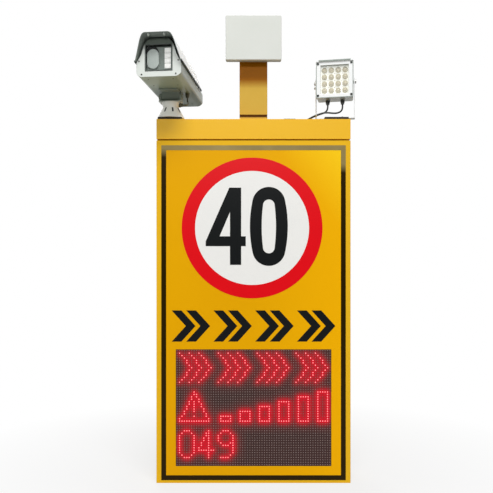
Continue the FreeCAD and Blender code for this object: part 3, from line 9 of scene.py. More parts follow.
# %% Load the frame
import json
import math

import bmesh
import bpy
from mathutils import Matrix, Vector

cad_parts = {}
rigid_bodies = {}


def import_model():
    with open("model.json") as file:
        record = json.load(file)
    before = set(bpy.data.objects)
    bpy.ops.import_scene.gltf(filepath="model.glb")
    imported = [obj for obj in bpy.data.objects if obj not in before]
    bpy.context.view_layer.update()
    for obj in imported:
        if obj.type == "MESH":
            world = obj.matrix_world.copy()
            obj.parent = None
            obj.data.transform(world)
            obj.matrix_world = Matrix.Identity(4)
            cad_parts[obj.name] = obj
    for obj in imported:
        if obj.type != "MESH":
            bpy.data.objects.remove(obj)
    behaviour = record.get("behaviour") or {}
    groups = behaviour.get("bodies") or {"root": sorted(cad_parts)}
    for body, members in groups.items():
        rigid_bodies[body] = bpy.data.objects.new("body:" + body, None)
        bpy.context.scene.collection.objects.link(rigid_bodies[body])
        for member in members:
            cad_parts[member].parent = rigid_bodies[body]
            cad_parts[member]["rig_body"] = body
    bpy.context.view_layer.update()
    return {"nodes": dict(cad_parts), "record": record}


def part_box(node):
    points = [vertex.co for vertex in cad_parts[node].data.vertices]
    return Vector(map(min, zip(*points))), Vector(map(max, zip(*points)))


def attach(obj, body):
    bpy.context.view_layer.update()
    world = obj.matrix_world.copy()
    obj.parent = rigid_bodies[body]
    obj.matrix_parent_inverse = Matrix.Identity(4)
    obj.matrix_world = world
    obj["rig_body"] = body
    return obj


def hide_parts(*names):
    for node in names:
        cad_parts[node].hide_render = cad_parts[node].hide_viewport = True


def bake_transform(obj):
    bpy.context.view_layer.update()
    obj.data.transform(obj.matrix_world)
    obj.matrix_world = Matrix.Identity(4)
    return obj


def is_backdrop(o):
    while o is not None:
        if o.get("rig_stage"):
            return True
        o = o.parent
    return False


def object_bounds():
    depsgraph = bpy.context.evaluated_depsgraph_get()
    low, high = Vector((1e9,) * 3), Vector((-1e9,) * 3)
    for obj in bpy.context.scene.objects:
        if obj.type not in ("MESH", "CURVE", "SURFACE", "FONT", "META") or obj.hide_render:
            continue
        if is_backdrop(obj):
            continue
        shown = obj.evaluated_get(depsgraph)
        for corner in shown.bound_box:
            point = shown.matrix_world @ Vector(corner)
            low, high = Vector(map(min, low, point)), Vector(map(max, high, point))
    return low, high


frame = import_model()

nodes = frame["nodes"]
scene = bpy.context.scene
scene.view_settings.view_transform = "Standard"


def add_object(name, data):
    """A new object in the scene."""
    made = bpy.data.objects.new(name, data)
    scene.collection.objects.link(made)
    return made


# %% [markdown]
# The photograph looks at the sign squarely, from about breast height, so the camera
# stays level and its frame is shifted up a little. A tilted camera would make the
# cabinet's sides lean.

# %% Camera
lens = bpy.data.cameras.new("photo_camera")
lens.lens = 46.08
lens.sensor_width = 36
lens.shift_y = 0.0436
camera = add_object("photo_camera", lens)
camera.location = (-0.029, -2.690, 0.886)
camera.rotation_euler = (math.radians(90), 0, 0)
scene.camera = camera
print("camera stands", round(-camera.location.y, 2), "m in front of the cabinet's middle")

# %% [markdown]
# Two black leads run from the lamp through a tie into the roof, and the camera has one short lead
# under its housing. Each route is a smooth NURBS curve with a round bevel. The tubes are turned
# into meshes.

# %% Cable routes, in metres
CABLE = 0.007
camera_route = [
    (-0.2973, -0.0256, 1.5733), (-0.2903, -0.0263, 1.5733), (-0.2833, -0.0241, 1.5742),
    (-0.2779, -0.018, 1.5766), (-0.2759, -0.0094, 1.5809), (-0.2771, -0.0008, 1.587),
    (-0.2798, 0.0069, 1.5946), (-0.282, 0.0129, 1.6038), (-0.282, 0.0129, 1.6137)]
left_route = [
    (0.3156, -0.0141, 1.5767), (0.3156, -0.0141, 1.5655), (0.3125, -0.0165, 1.554),
    (0.305, -0.0198, 1.545), (0.2935, -0.0234, 1.539), (0.2795, -0.0264, 1.534),
    (0.264, -0.0272, 1.5285), (0.2485, -0.0225, 1.522), (0.236, -0.012, 1.516),
    (0.2265, 0.002, 1.5125), (0.218, 0.016, 1.5112), (0.209, 0.027, 1.5106),
    (0.2005, 0.032, 1.511), (0.192, 0.032, 1.511)]
right_route = [
    (0.3764, -0.0259, 1.5767), (0.3764, -0.0259, 1.5655), (0.3743, -0.0272, 1.554),
    (0.3675, -0.0288, 1.545), (0.3565, -0.0306, 1.5395), (0.3425, -0.0324, 1.5375),
    (0.3275, -0.0338, 1.538), (0.312, -0.0346, 1.5395), (0.296, -0.035, 1.5385),
    (0.2805, -0.0352, 1.5345), (0.264, -0.035, 1.5285), (0.248, -0.0315, 1.5215),
    (0.2345, -0.0235, 1.5155), (0.224, -0.0125, 1.5123), (0.2145, -0.001, 1.5112),
    (0.2055, 0.0076, 1.5106), (0.1985, 0.01, 1.511), (0.192, 0.01, 1.511)]


def lay_cable(name, route):
    """The cable's tube as a mesh piece, and the points of the line that it follows."""
    curve = bpy.data.curves.new(name + "_line", "CURVE")
    curve.dimensions = "3D"
    curve.resolution_u = 6
    spline = curve.splines.new("NURBS")
    spline.points.add(len(route) - 1)
    for point, place in zip(spline.points, route):
        point.co = (*place, 1)
    spline.order_u = 3
    spline.use_endpoint_u = True
    line = bpy.data.objects.new(name + "_line", curve)
    thread = bpy.data.meshes.new_from_object(line)
    path = [tuple(v.co) for v in thread.vertices]
    curve.bevel_depth = CABLE / 2
    curve.bevel_resolution = 4
    curve.use_fill_caps = True
    tube = bpy.data.meshes.new_from_object(line)
    tube.name = name
    tube.shade_smooth()
    piece = add_object(name, tube)
    bpy.data.objects.remove(line)
    bpy.data.meshes.remove(thread)
    return piece, path


print("route points:", len(camera_route), len(left_route), len(right_route))

# %% Cables
cables = []
for name, route, length in (
        ("lamp_lead_left", left_route, 0.1806), ("lamp_lead_right", right_route, 0.2317)):
    lead, path = lay_cable(name, route)
    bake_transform(lead)
    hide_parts("lamp_cable_" + name.split("_")[-1])
    cables.append(lead)
lead, path = lay_cable("camera_lead", camera_route)
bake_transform(lead)
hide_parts("camera_cable")
cables.append(lead)
print("cables:", [(c.name, len(c.data.vertices)) for c in cables])

# %% [markdown]
# A finish is a small tree of shader nodes. A class keeps those trees readable: it adds
# noise in the object's own coordinates, blends two colours by a pattern, lays a further
# colour over them and turns a pattern into gloss or relief. Most finishes are just two
# tones that wander into each other, so one function makes all of those.


# %% Helpers for finishes
def srgb(red, green, blue):
    """A colour as an eye dropper reads it, made linear for the shader."""
    def linear(value):
        value /= 255
        return value / 12.92 if value <= 0.04045 else ((value + 0.055) / 1.055) ** 2.4
    return (linear(red), linear(green), linear(blue), 1)


class Finish:
    """A material whose principled shader is fed by patterns on Object coordinates."""

    def __init__(self, name, colour, roughness=0.5, metallic=0.0, specular=0.5, **sockets):
        self.material = bpy.data.materials.new(name)
        self.material.use_nodes = True
        self.tree = self.material.node_tree
        self.shader = self.tree.nodes["Principled BSDF"]
        sockets |= {"Base Color": colour, "Roughness": roughness, "Metallic": metallic,
                    "Specular IOR Level": specular}
        for socket, value in sockets.items():
            value = srgb(*value) if isinstance(value, tuple) else value
            self.shader.inputs[socket.replace("_", " ")].default_value = value
        self.coordinates = self.node("ShaderNodeTexCoord")
        self.place = self.coordinates.outputs["Object"]

    def node(self, kind, **settings):
        made = self.tree.nodes.new(kind)
        for setting, value in settings.items():
            setattr(made, setting, value)
        return made

    def link(self, start, end):
        self.tree.links.new(start, end)

    def axes(self, kind="Object"):
        """The x, y and z of each point, or with Normal of the way that its face looks."""
        split = self.node("ShaderNodeSeparateXYZ")
        self.link(self.coordinates.outputs[kind], split.inputs[0])
        return split.outputs

    def attribute(self, name):
        """A number that the mesh carries at each of its points."""
        return self.node("ShaderNodeAttribute", attribute_name=name).outputs["Fac"]

    def stretch(self, x, y, z):
        """Object coordinates scaled along each axis, for streaks and brush lines."""
        mapping = self.node("ShaderNodeMapping")
        mapping.inputs["Scale"].default_value = (x, y, z)
        self.link(self.place, mapping.inputs["Vector"])
        return mapping.outputs["Vector"]

    def noise(self, scale, detail=2.0, rough=0.5, place=None):
        made = self.node("ShaderNodeTexNoise")
        made.inputs["Scale"].default_value = scale
        made.inputs["Detail"].default_value = detail
        made.inputs["Roughness"].default_value = rough
        self.link(place or self.place, made.inputs["Vector"])
        return made.outputs[0]

    def cells(self, scale, feature="F1"):
        made = self.node("ShaderNodeTexVoronoi", feature=feature)
        made.inputs["Scale"].default_value = scale
        self.link(self.place, made.inputs["Vector"])
        return made

    def spread(self, value, low, high, to_low=0.0, to_high=1.0):
        made = self.node("ShaderNodeMapRange")
        for socket, number in zip(made.inputs[1:5], (low, high, to_low, to_high)):
            socket.default_value = number
        self.link(value, made.inputs[0])
        return made.outputs[0]

    def math(self, operation, *values):
        made = self.node("ShaderNodeMath", operation=operation)
        for socket, value in zip(made.inputs, values):
            if isinstance(value, (int, float)):
                socket.default_value = value
            else:
                self.link(value, socket)
        return made.outputs[0]

    def blend(self, factor, first, second, socket="Base Color"):
        """Mixes two colours by a pattern, and feeds the shader's socket if one is named."""
        made = self.node("ShaderNodeMix", data_type="RGBA")
        self.link(factor, made.inputs[0])
        for end, colour in ((made.inputs[6], first), (made.inputs[7], second)):
            if isinstance(colour, tuple):
                end.default_value = srgb(*colour)
            else:
                self.link(colour, end)
        if socket:
            self.link(made.outputs[2], self.shader.inputs[socket])
        return made.outputs[2]

    def shown(self):
        """What feeds the colour of the finish so far."""
        return self.shader.inputs["Base Color"].links[0].from_socket

    def cover(self, value, low, high, colour):
        """Lays a colour over what shows so far, as a value goes from low to high."""
        self.blend(self.spread(value, low, high), self.shown(), colour)

    def gloss(self, value, low, high):
        """Roughness that follows a pattern between two values."""
        self.link(self.spread(value, 0.3, 0.7, low, high), self.shader.inputs["Roughness"])

    def relief(self, height, depth, strength=1.0):
        made = self.node("ShaderNodeBump")
        made.inputs["Distance"].default_value = depth
        made.inputs["Strength"].default_value = strength
        self.link(height, made.inputs["Height"])
        self.link(made.outputs[0], self.shader.inputs["Normal"])


def mottled(name, roughness, pattern, dark, light, metallic=0.0, gloss=None, relief=None,
            **sockets):
    """Two tones by a noise pattern, with its gloss, and a finer noise as relief."""
    finish = Finish(name, dark, roughness, metallic, **sockets)
    tone = finish.noise(*pattern)
    finish.blend(tone, dark, light)
    if gloss:
        finish.gloss(tone, *gloss)
    if relief:
        scale, detail, depth, strength = relief
        finish.relief(finish.noise(scale, detail), depth, strength)
    return finish


print("helpers: Finish, mottled")

# %% [markdown]
# The cabinet is powder coated: a thick yellow skin, slightly wavy like an orange's peel
# and a little uneven in colour, with a thin, patchy film of road dust. The wave is a fine
# noise used as relief.

# %% Powder coat of the cabinet
peel = (420, 2, 0.0002, 0.35)
yellow_paint = mottled("yellow_powder_coat", 0.38, (2.2, 3), (234, 178, 26), (241, 189, 40),
                       relief=peel, specular=0.2)
dust = yellow_paint.noise(60, 5, 0.65)
thin = yellow_paint.spread(dust, 0.62, 0.9, 0, 0.35)
yellow_paint.cover(thin, 0, 1, (206, 164, 60))
yellow_paint.gloss(dust, 0.33, 0.45)
print("coat:", yellow_paint.material.name)

# %% [markdown]
# The post's coat is paler than the cabinet's. On its front face, right under the radar, a deep
# orange is painted shade for the radar's shadow. The gap at the post's foot, above the collar that
# is welded to the roof, is darkened as painted shade in the gap.

# %% Coat of the post
POST_FRONT, POST_GAP = -0.0565, 1.520
post = mottled("post_pale_yellow_coat", 0.42, (6, 4, 0.6), (202, 160, 58), (214, 176, 76),
               relief=peel, specular=0.08)
_, depth, height = post.axes()
# Painted shade: the radar's shadow, a deep orange on the post's front face just under the radar.
front = post.math("LESS_THAN", depth, POST_FRONT)
shade = post.math("MULTIPLY", front, post.spread(height, 1.636, 1.672))
post.cover(shade, 0, 1, (166, 99, 2))
# Painted shade: a dark band in the gap at the post's foot.
off_gap = post.math("ABSOLUTE", post.math("SUBTRACT", height, POST_GAP))
post.cover(off_gap, 0.0080, 0.0040, (96, 56, 6))
print("coat:", post.material.name)

# %% [markdown]
# The front panel carries a deeper yellow film, up to the black border, and the bare coat shows on
# the margin round it. One finish does both: the distance from the middle of the face says on which
# side of the border a point lies. Painted light makes the film a little brighter towards the right,
# most of all in the upper corner.

# %% Yellow face of the front panel
FILM_HALF_WIDTH, FILM_MIDDLE, FILM_HALF_HEIGHT, FILM_FACE = 0.372, 0.702, 0.682, -0.0898
panel = Finish("panel_yellow_face", (229, 166, 0), 0.36, specular=0.06)
across, depth, height = panel.axes()
patches = panel.noise(1.8, 3)
panel.blend(patches, (226, 161, 0), (234, 172, 0))
# Painted light: brighter towards the right and in the upper right corner.
panel.cover(across, 0.0, 0.37, (242, 176, 0))
corner = panel.math("ADD", across, panel.math("MULTIPLY", height, 0.8))
panel.cover(corner, 1.20, 1.50, (250, 206, 24))
film = panel.shown()
margin = panel.blend(patches, (228, 176, 26), (236, 184, 36), None)
aside = panel.math("COMPARE", across, 0, FILM_HALF_WIDTH)
level = panel.math("COMPARE", height, FILM_MIDDLE, FILM_HALF_HEIGHT)
front = panel.math("LESS_THAN", depth, FILM_FACE)
face = panel.math("MULTIPLY", panel.math("MULTIPLY", aside, level), front)
panel.blend(face, margin, film)
panel.relief(panel.noise(420, 2), 0.0002, 0.3)
print("face:", panel.material.name)

# %% [markdown]
# The sign face is reflective sheeting: close up a net of tiny cells under a clear skin, from a
# distance a clean, even colour. The black border is a thinner film that carries a greyish-gold
# painted sky reflection in streaks towards the top of the panel, reaching lower on the right.


# %% Sign films
def sign_film(name, colour, cell_colour, roughness, specular):
    """Sheeting whose net of cells shows a second colour, in patches."""
    film = Finish(name, colour, roughness, specular=specular)
    net = film.cells(260, "DISTANCE_TO_EDGE").outputs["Distance"]
    patch = film.spread(film.noise(9, 3), 0.3, 0.7, 0.35, 0.8)
    weave = film.math("MULTIPLY", film.spread(net, 0.0, 0.12, 1, 0), patch)
    film.blend(weave, colour, cell_colour)
    film.relief(net, 0.00005, 0.15)
    return film


black_film = sign_film("black_sign_film", (14, 17, 18), (22, 24, 24), 0.36, 0.16)
border = sign_film("black_border_film", (38, 26, 0), (48, 34, 4), 0.3, 0.08)
across, _, height = border.axes()
# Painted reflection: the sky's grey on the border's upper part, in streaks.
lean = border.math("ADD", height, border.math("MULTIPLY", across, 0.087))
painted_sky_reflection = border.spread(lean, 1.3110, 1.3475)
streak = border.spread(border.noise(6, 3), 0.35, 0.65, 0.75, 1.0)
border.cover(border.math("MULTIPLY", painted_sky_reflection, streak), 0, 1, (158, 140, 88))
red_film = sign_film("red_sign_film", (228, 0, 16), (212, 0, 14), 0.32, 0.2)
white_film = sign_film("white_sign_film", (240, 239, 235), (228, 229, 226), 0.36, 0.2)
print("films: black, border, red, white")

# %% [markdown]
# The camera is painted off-white, with painted shade on its sides and on faces that look down,
# darker towards the rear, so the paint asks which way a face looks. The plate round the window also
# carries a painted shadow under the visor. The bracket is a rougher casting, white at the foot and
# grey above, the radar has a grained plastic face, and the lamp's silver paint carries painted
# shade underneath.

# %% Paints and plastics on the roof
def white_paint_with_painted_shade(name):
    """White paint with painted shade on its sides and where it faces down, darker towards the rear.
    """
    paint = mottled(name, 0.36, (14, 4, 0.6), (216, 222, 216), (231, 235, 229),
                    gloss=(0.30, 0.42), relief=(600, 2, 0.0001, 0.3), specular=0.12)
    depth = paint.axes()[1]
    # Painted shade: greyer sides, and faces that look down darker, most of all towards the rear.
    sideways, _, upward = paint.axes("Normal")
    paint.cover(paint.math("ABSOLUTE", sideways), 0.45, 0.9, (170, 181, 178))
    rearward = paint.spread(depth, -0.12, 0.02)
    underside_shade = paint.blend(rearward, (152, 163, 140), (80, 97, 85), None)
    paint.cover(upward, -0.3, -0.8, underside_shade)
    return paint


camera_paint = white_paint_with_painted_shade("camera_off_white_painted_shade")
plate_with_painted_shadow = white_paint_with_painted_shade("camera_plate_with_visor_shadow")
# Painted shadow: the visor's shadow darkens the plate's upper part.
plate_with_painted_shadow.cover(plate_with_painted_shadow.axes()[2], 1.736, 1.762, (82, 91, 82))

casting, cast_skin = (30, 5, 0.6), (350, 3, 0.0003, 0.5)
cream = (238, 238, 228), (250, 250, 244)
bracket_paint = mottled("bracket_casting_paint", 0.5, casting, *cream, relief=cast_skin)
bracket_grey = mottled("bracket_grey_casting", 0.5, casting, (124, 134, 120), (146, 154, 141),
                       relief=cast_skin)
pan_paint = mottled("pan_head_paint", 0.5, casting, *cream, relief=cast_skin)
pan_paint.cover(pan_paint.axes()[2], 1.580, 1.588, (140, 149, 137))

grain = (900, 2, 0.0001, 0.4)
radar_plastic = mottled("radar_moulded_plastic", 0.42, (7, 3), (203, 206, 198), (213, 215, 209),
                        relief=grain)
radar_grey = mottled("radar_grey_case", 0.5, (20, 3), (132, 136, 126), (150, 153, 144),
                     relief=grain)
lamp_metal = mottled("lamp_silver_painted_shade", 0.34, (1400, 2), (226, 229, 229), (243, 244, 243),
                     relief=(500, 2, 0.00008, 0.3))
# Painted shade on the faces of the lamp that look down.
lamp_metal.cover(lamp_metal.axes("Normal")[2], -0.5, -0.9, (150, 156, 150))
print("roof finishes: 8")

# %% [markdown]
# Small metal parts: zinc shows its crystals as cells of slightly different grey, bolts
# and locks are plated, and the equipment inside has brushed or moulded cases.

# %% Metals, rubbers and equipment cases
galvanised = Finish("galvanised_sheet", (176, 180, 182), 0.42, 0.85)
spangle = galvanised.cells(90).outputs["Color"]
grey = galvanised.node("ShaderNodeRGBToBW")
galvanised.link(spangle, grey.inputs[0])
galvanised.blend(grey.outputs[0], (160, 165, 168), (196, 199, 200))
galvanised.gloss(grey.outputs[0], 0.34, 0.5)

bolt_steel = mottled("plated_bolt_steel", 0.32, (300, 4, 0.6), (118, 116, 110), (178, 177, 172),
                     1.0, gloss=(0.24, 0.42))
lock_zinc = mottled("lock_chromed_zinc", 0.18, (180, 3), (170, 171, 170), (204, 205, 204),
                    1.0, gloss=(0.12, 0.26))
device_metal = Finish("device_case_metal", (168, 172, 174), 0.36, 0.9)
brush = device_metal.noise(160, 2, 0.5, device_metal.stretch(1, 1, 24))
device_metal.blend(brush, (152, 156, 158), (186, 190, 192))
device_metal.gloss(brush, 0.28, 0.44)
device_plastic = mottled("device_case_plastic", 0.5, (40, 3), (188, 190, 186), (204, 206, 202),
                         relief=(1500, 1, 0.00005, 0.4))


def dark_rubber(name, colour, dusty, roughness, grain):
    """Rubber or dull plastic with a bloom of dust and a fine grain."""
    rubber = Finish(name, colour, roughness)
    bloom = rubber.noise(45, 5, 0.65)
    rubber.blend(rubber.spread(bloom, 0.45, 0.8), colour, dusty)
    rubber.relief(rubber.noise(grain, 3), 0.0001, 0.4)
    return rubber


seal_rubber = dark_rubber("door_seal_rubber", (26, 26, 27), (48, 47, 46), 0.7, 900)
pad_rubber = dark_rubber("pad_rubber", (16, 14, 11), (34, 30, 22), 0.75, 700)
cable_rubber = dark_rubber("cable_sheath", (34, 36, 35), (52, 54, 51), 0.45, 1200)
lead_olive = dark_rubber("camera_lead_sheath", (78, 78, 58), (104, 102, 78), 0.5, 1000)
gland_nylon = dark_rubber("gland_nylon", (44, 46, 45), (66, 68, 64), 0.4, 1000)
camera_dark = dark_rubber("camera_mask_plastic", (118, 128, 121), (132, 141, 134), 0.5, 800)
display_mask = dark_rubber("display_mask_plastic", (58, 42, 40), (72, 54, 51), 0.55, 500)
print("rubbers and dull plastics: 7")

# %% [markdown]
# Glass here is a thin clear sheet in front of something to look at. A see-through
# principled shader lets light reach what is behind it, which true refraction would leave
# in the dark.

# %% Glass, lens and emitters
def clear_glass(name, colour, smears, **sockets):
    """Glass with a few smears in its gloss."""
    glass = Finish(name, colour, 0.05, **sockets)
    glass.gloss(glass.noise(smears, 4), 0.03, 0.10)
    return glass


window_glass = clear_glass("window_glass", (200, 210, 208), 20, Alpha=0.008, specular=0.04)
lamp_glass = clear_glass("lamp_glass", (242, 244, 242), 25, Alpha=0.10, specular=0.08)
# The lens cover's pale grey is a painted sky reflection.
lens_dark = mottled("lens_cover_painted_reflection", 0.4, (25, 2), (182, 192, 186), (200, 208, 203),
                    specular=0.2)
# The light bar is unlit: its faint glow is painted light against the shade of the sunshield.
light_white = mottled("light_bar_painted_glow", 0.3, (120, 2), (240, 240, 235), (250, 250, 247),
                      Emission_Color=(250, 250, 246), Emission_Strength=0.14)
# The board's faint glow is painted light against the shade of the bezel and glass.
lamp_board = mottled("lamp_board_painted_glow", 0.45, (60, 3), (234, 234, 226), (246, 246, 242),
                     Emission_Color=(250, 252, 242), Emission_Strength=0.36)
print("finishes:", len(bpy.data.materials))

# %% [markdown]
# Now the finishes go onto the CAD nodes. The record names a material slot for every
# node, so one table from slot to finish dresses the whole sign. A second table names the
# nodes with a finish of their own.

# %% Dress the CAD nodes
slot_finish = {
    "yellow_paint": yellow_paint, "black_film": black_film, "red_film": red_film,
    "white_film": white_film, "display_mask": display_mask, "galvanised": galvanised,
    "bolt_steel": bolt_steel, "device_metal": device_metal, "device_plastic": device_plastic,
    "seal_rubber": seal_rubber, "pad_rubber": pad_rubber, "radar_plastic": radar_plastic,
    "camera_paint": camera_paint, "bracket_paint": bracket_paint, "window_glass": window_glass,
    "camera_dark": camera_dark, "lens_dark": lens_dark, "light_white": light_white,
    "lamp_metal": lamp_metal, "lamp_glass": lamp_glass, "lamp_board": lamp_board,
    "gland_nylon": gland_nylon, "cable_rubber": cable_rubber, "lock_zinc": lock_zinc}
own_finish = {
    "border_film": border, "front_panel": panel, "camera_saddle": bracket_grey,
    "camera_pan_head": pan_paint, "radar_case": radar_grey, "camera_front_plate": plate_with_painted_shadow,
    "riser_stub": post, "riser_post": post, "camera_gland": lead_olive,
    "pan_head_gland": lead_olive}
node_slot = {part["node"]: part["material_slot"] for part in frame["record"]["subparts"]}
for name, node in nodes.items():
    node.data.materials.clear()
    node.data.materials.append(own_finish.get(name, slot_finish[node_slot[name]]).material)
for cable in cables:
    sheath = lead_olive if cable.name == "camera_lead" else cable_rubber
    cable.data.materials.append(sheath.material)
print("dressed", len(nodes), "nodes,", len(own_finish), "with a finish of their own")

# %% [markdown]
# Sheet metal and castings never end in a knife edge. A CAD node's mesh is left alone, so
# each node below gets a copy that stands for it: doubled corners are merged, flat faces
# joined and sharp edges bevelled, by under a millimetre on folded sheet and by more on
# castings. The long edges of pressed housings are rounded first, with a larger radius.


# %% Helpers for pieces
def to_object(name, shape):
    """Turns a bmesh into an object of the scene."""
    mesh = bpy.data.meshes.new(name)
    shape.to_mesh(mesh)
    shape.free()
    return add_object(name, mesh)


def make_piece(name, shape, finish, body, smooth=40):
    """Turns a bmesh into a smooth shaded piece that rides on a body."""
    made = to_object(name, shape)
    made.data.shade_smooth()
    made.data.set_sharp_from_angle(angle=math.radians(smooth))
    made.data.materials.append(finish.material)
    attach(made, body)
    return made


def merged_copy(node):
    """A bmesh of a CAD node with its corners merged and its flat faces joined."""
    shape = bmesh.new()
    shape.from_mesh(nodes[node].data)
    bmesh.ops.remove_doubles(shape, verts=shape.verts, dist=2e-6)
    bmesh.ops.dissolve_limit(shape, angle_limit=math.radians(0.5),
                             verts=shape.verts, edges=shape.edges)
    return shape


def round_off(shape, parts, radius, segments=2, kind="EDGES"):
    """Bevels edges or, with VERTICES, corners."""
    bmesh.ops.bevel(shape, geom=parts, offset=radius, offset_type="OFFSET", segments=segments,
                    profile=0.5, affect=kind, clamp_overlap=kind == "VERTICES", material=-1)


def corner_edges(shape, place, beyond):
    """The outer edges along a place's y axis, further from it than a distance."""
    along = (place.to_3x3() @ Vector((0, 1, 0))).normalized()
    picked = []
    for edge in shape.edges:
        start, end = (v.co for v in edge.verts)
        arm = start - place.translation
        aside = (arm - along * arm.dot(along)).length
        level = abs((end - start).normalized().dot(along)) > 0.999
        if edge.is_manifold and level and aside > beyond and edge.calc_face_angle_signed() > 0.3:
            picked.append(edge)
    return picked


def eased_copy(node, radius, place=None, corner=0.0, beyond=0.0):
    """A copy of a CAD node with its sharp edges bevelled."""
    shape = merged_copy(node)
    if place:
        round_off(shape, corner_edges(shape, place, beyond), corner, 5)
    sharp = [e for e in shape.edges if e.is_manifold and e.calc_face_angle() > math.radians(35)]
    round_off(shape, sharp, radius)
    slot = node_slot[node]
    made = make_piece(node + "_eased", shape, slot_finish[slot], nodes[node]["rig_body"])
    made.data.materials[0] = nodes[node].data.materials[0]
    weighted = made.modifiers.new("even_faces", "WEIGHTED_NORMAL")
    weighted.keep_sharp = True
    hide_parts(node)
    return made


print("helpers: make_piece, eased_copy")

# %% Ease the edges
def at(x, y, z):
    """A place that is moved but not turned."""
    return Matrix.Translation((x, y, z))


def turned_place(x, y, z, degrees):
    """A place on the roof that is turned about the upright."""
    return at(x, y, z) @ Matrix.Rotation(math.radians(degrees), 4, "Z")


TO_FRONT = Matrix.Rotation(math.radians(90), 4, "X")
on_camera = turned_place(-0.348, -0.020, 1.632, -6.3)
on_lamp = turned_place(0.346, -0.020, 0, -11)
camera_axis = on_camera @ at(0, 0, 0.075)
lamp_axis = on_lamp @ at(0, 0, 1.6745)
radar_axis = at(0, 0, 1.830)
eased = {}
for radius, names in (
        (0.0007, "cabinet_shell front_panel rear_door"), (0.0015, "riser_stub riser_post"),
        (0.0008, "camera_base"), (0.0010, "camera_saddle"), (0.0008, "lamp_bracket"),
        (0.0015, "bracket_pads"), (0.0012, "cable_entry"), (0.0006, "equipment_plate"),
        (0.0008, "power_supplies speed_processor display_controller"),
        (0.0006, "circuit_breaker surge_arrester terminal_block radar_bracket")):
    for node in names.split():
        eased[node] = eased_copy(node, radius)
for node, radius, place, corner, beyond in (
        ("camera_housing", 0.0009, camera_axis, 0.006, 0.05),
        ("camera_front_plate", 0.0009, camera_axis, 0.006, 0.05),
        ("camera_rear_cap", 0.0020, camera_axis, 0.006, 0.05),
        ("radar_case", 0.0012, radar_axis, 0.006, 0.12),
        ("radar_cover", 0.0020, radar_axis, 0.0, 1.0),
        ("lamp_bezel", 0.0010, lamp_axis, 0.007, 0.108),
        ("lamp_housing", 0.0006, lamp_axis, 0.008, 0.105)):
    eased[node] = eased_copy(node, radius, place, corner, beyond)
print("eased:", {name: len(made.data.polygons) for name, made in eased.items()})

# %% [markdown]
# The display is a wall of light emitting diodes, 64 across and 48 down, on a dark mask.
# Each diode is a little dome of a few faces. What is lit is generic: chevrons, a triangle
# with rising bars, and a plain number. A line lights the dots that lie closest to it.

# %% Lit pattern of the display
PITCH = 0.010
COLUMNS, ROWS = 64, 48
lit = set()


def draw(*corners):
    """Lights the dots that lie along a line of corners, given as column and row."""
    for start, end in zip(corners, corners[1:]):
        steps = max(abs(end[0] - start[0]), abs(end[1] - start[1]), 1)
        for step in range(round(steps) + 1):
            dot = Vector(start).lerp(Vector(end), step / round(steps))
            lit.add((math.floor(dot.x + 0.5), math.floor(dot.y + 0.5)))


for cell in range(4):
    for shift in (1, 5, 9):
        left = 16 * cell + shift
        draw((left, 1), (left + 5, 7), (left, 13))
draw((7, 17), (1, 29), (13, 29), (7, 17))
draw((7, 21), (7, 25))
draw((7, 27), (7, 27))
for bar in range(6):
    left, top = 18 + 8 * bar, 27 - 2 * bar
    draw((left, 29), (left, top), (left + 4, top), (left + 4, 29), (left, 29))
draw((3, 33), (5, 33), (7, 35), (7, 42), (5, 44), (3, 44), (1, 42), (1, 35), (3, 33))
draw((13, 44), (13, 33), (9, 40), (9, 41), (15, 41))
draw((23, 37), (21, 39), (19, 39), (17, 37), (17, 35), (19, 33), (21, 33), (23, 35),
     (23, 42), (21, 44), (18, 44))
print("lit dots:", len(lit), "of", COLUMNS * ROWS)

# %% [markdown]
# A lit diode shines on the mask and the dull diodes round it. Every point therefore
# carries the light that falls there as a number: the sum of soft spots round the lit dots
# near it, each a bright core with a wide, faint halo. The finishes turn it into a glow.

# %% Light that falls on the display
MASK_FACE = -0.0890
first_x, first_z = -0.315, 0.545
REACH = range(-5, 6)
near = {}
for column, row in lit:
    for across in REACH:
        for down in REACH:
            near.setdefault((column + across, row + down), []).append((column, row))


def add_glow(shape):
    """Writes on every point how much light falls there, and whether its diode is lit."""
    glow = shape.verts.layers.float.new("glow")
    shines = shape.verts.layers.float.new("shines")
    for vert in shape.verts:
        column, row = (vert.co.x - first_x) / PITCH, (first_z - vert.co.z) / PITCH
        dot = (round(column), round(row))
        reach = [(column - c) ** 2 + (row - r) ** 2 for c, r in near.get(dot, ())]
        light = sum(0.34 * math.exp(-far / 2.2) + 0.026 * math.exp(-far / 12) for far in reach)
        vert[glow] = min(light, 1.0)
        vert[shines] = float(dot in lit)


print("dots with light on them:", len(near))

# %% Diodes
def repeat(part, places):
    """A bmesh with a copy of a part at each place. The part itself is given up."""
    mesh = bpy.data.meshes.new("part")
    shape = bmesh.new()
    for place in places:
        part.to_mesh(mesh)
        mesh.transform(place)
        shape.from_mesh(mesh)
    part.free()
    bpy.data.meshes.remove(mesh)
    return shape


diode = mottled("diode_lens", 0.3, (700, 1), (106, 86, 82), (138, 118, 113),
                Emission_Strength=0.0)
shines, spill = diode.attribute("shines"), diode.attribute("glow")
diode.cover(spill, 0, 1, (96, 8, 16))
diode.blend(shines, (170, 6, 26), (255, 136, 142), "Emission Color")
own, lent = diode.math("MULTIPLY", shines, 1.7), diode.math("MULTIPLY", spill, 0.5)
diode.link(diode.math("MAXIMUM", own, lent), diode.shader.inputs["Emission Strength"])

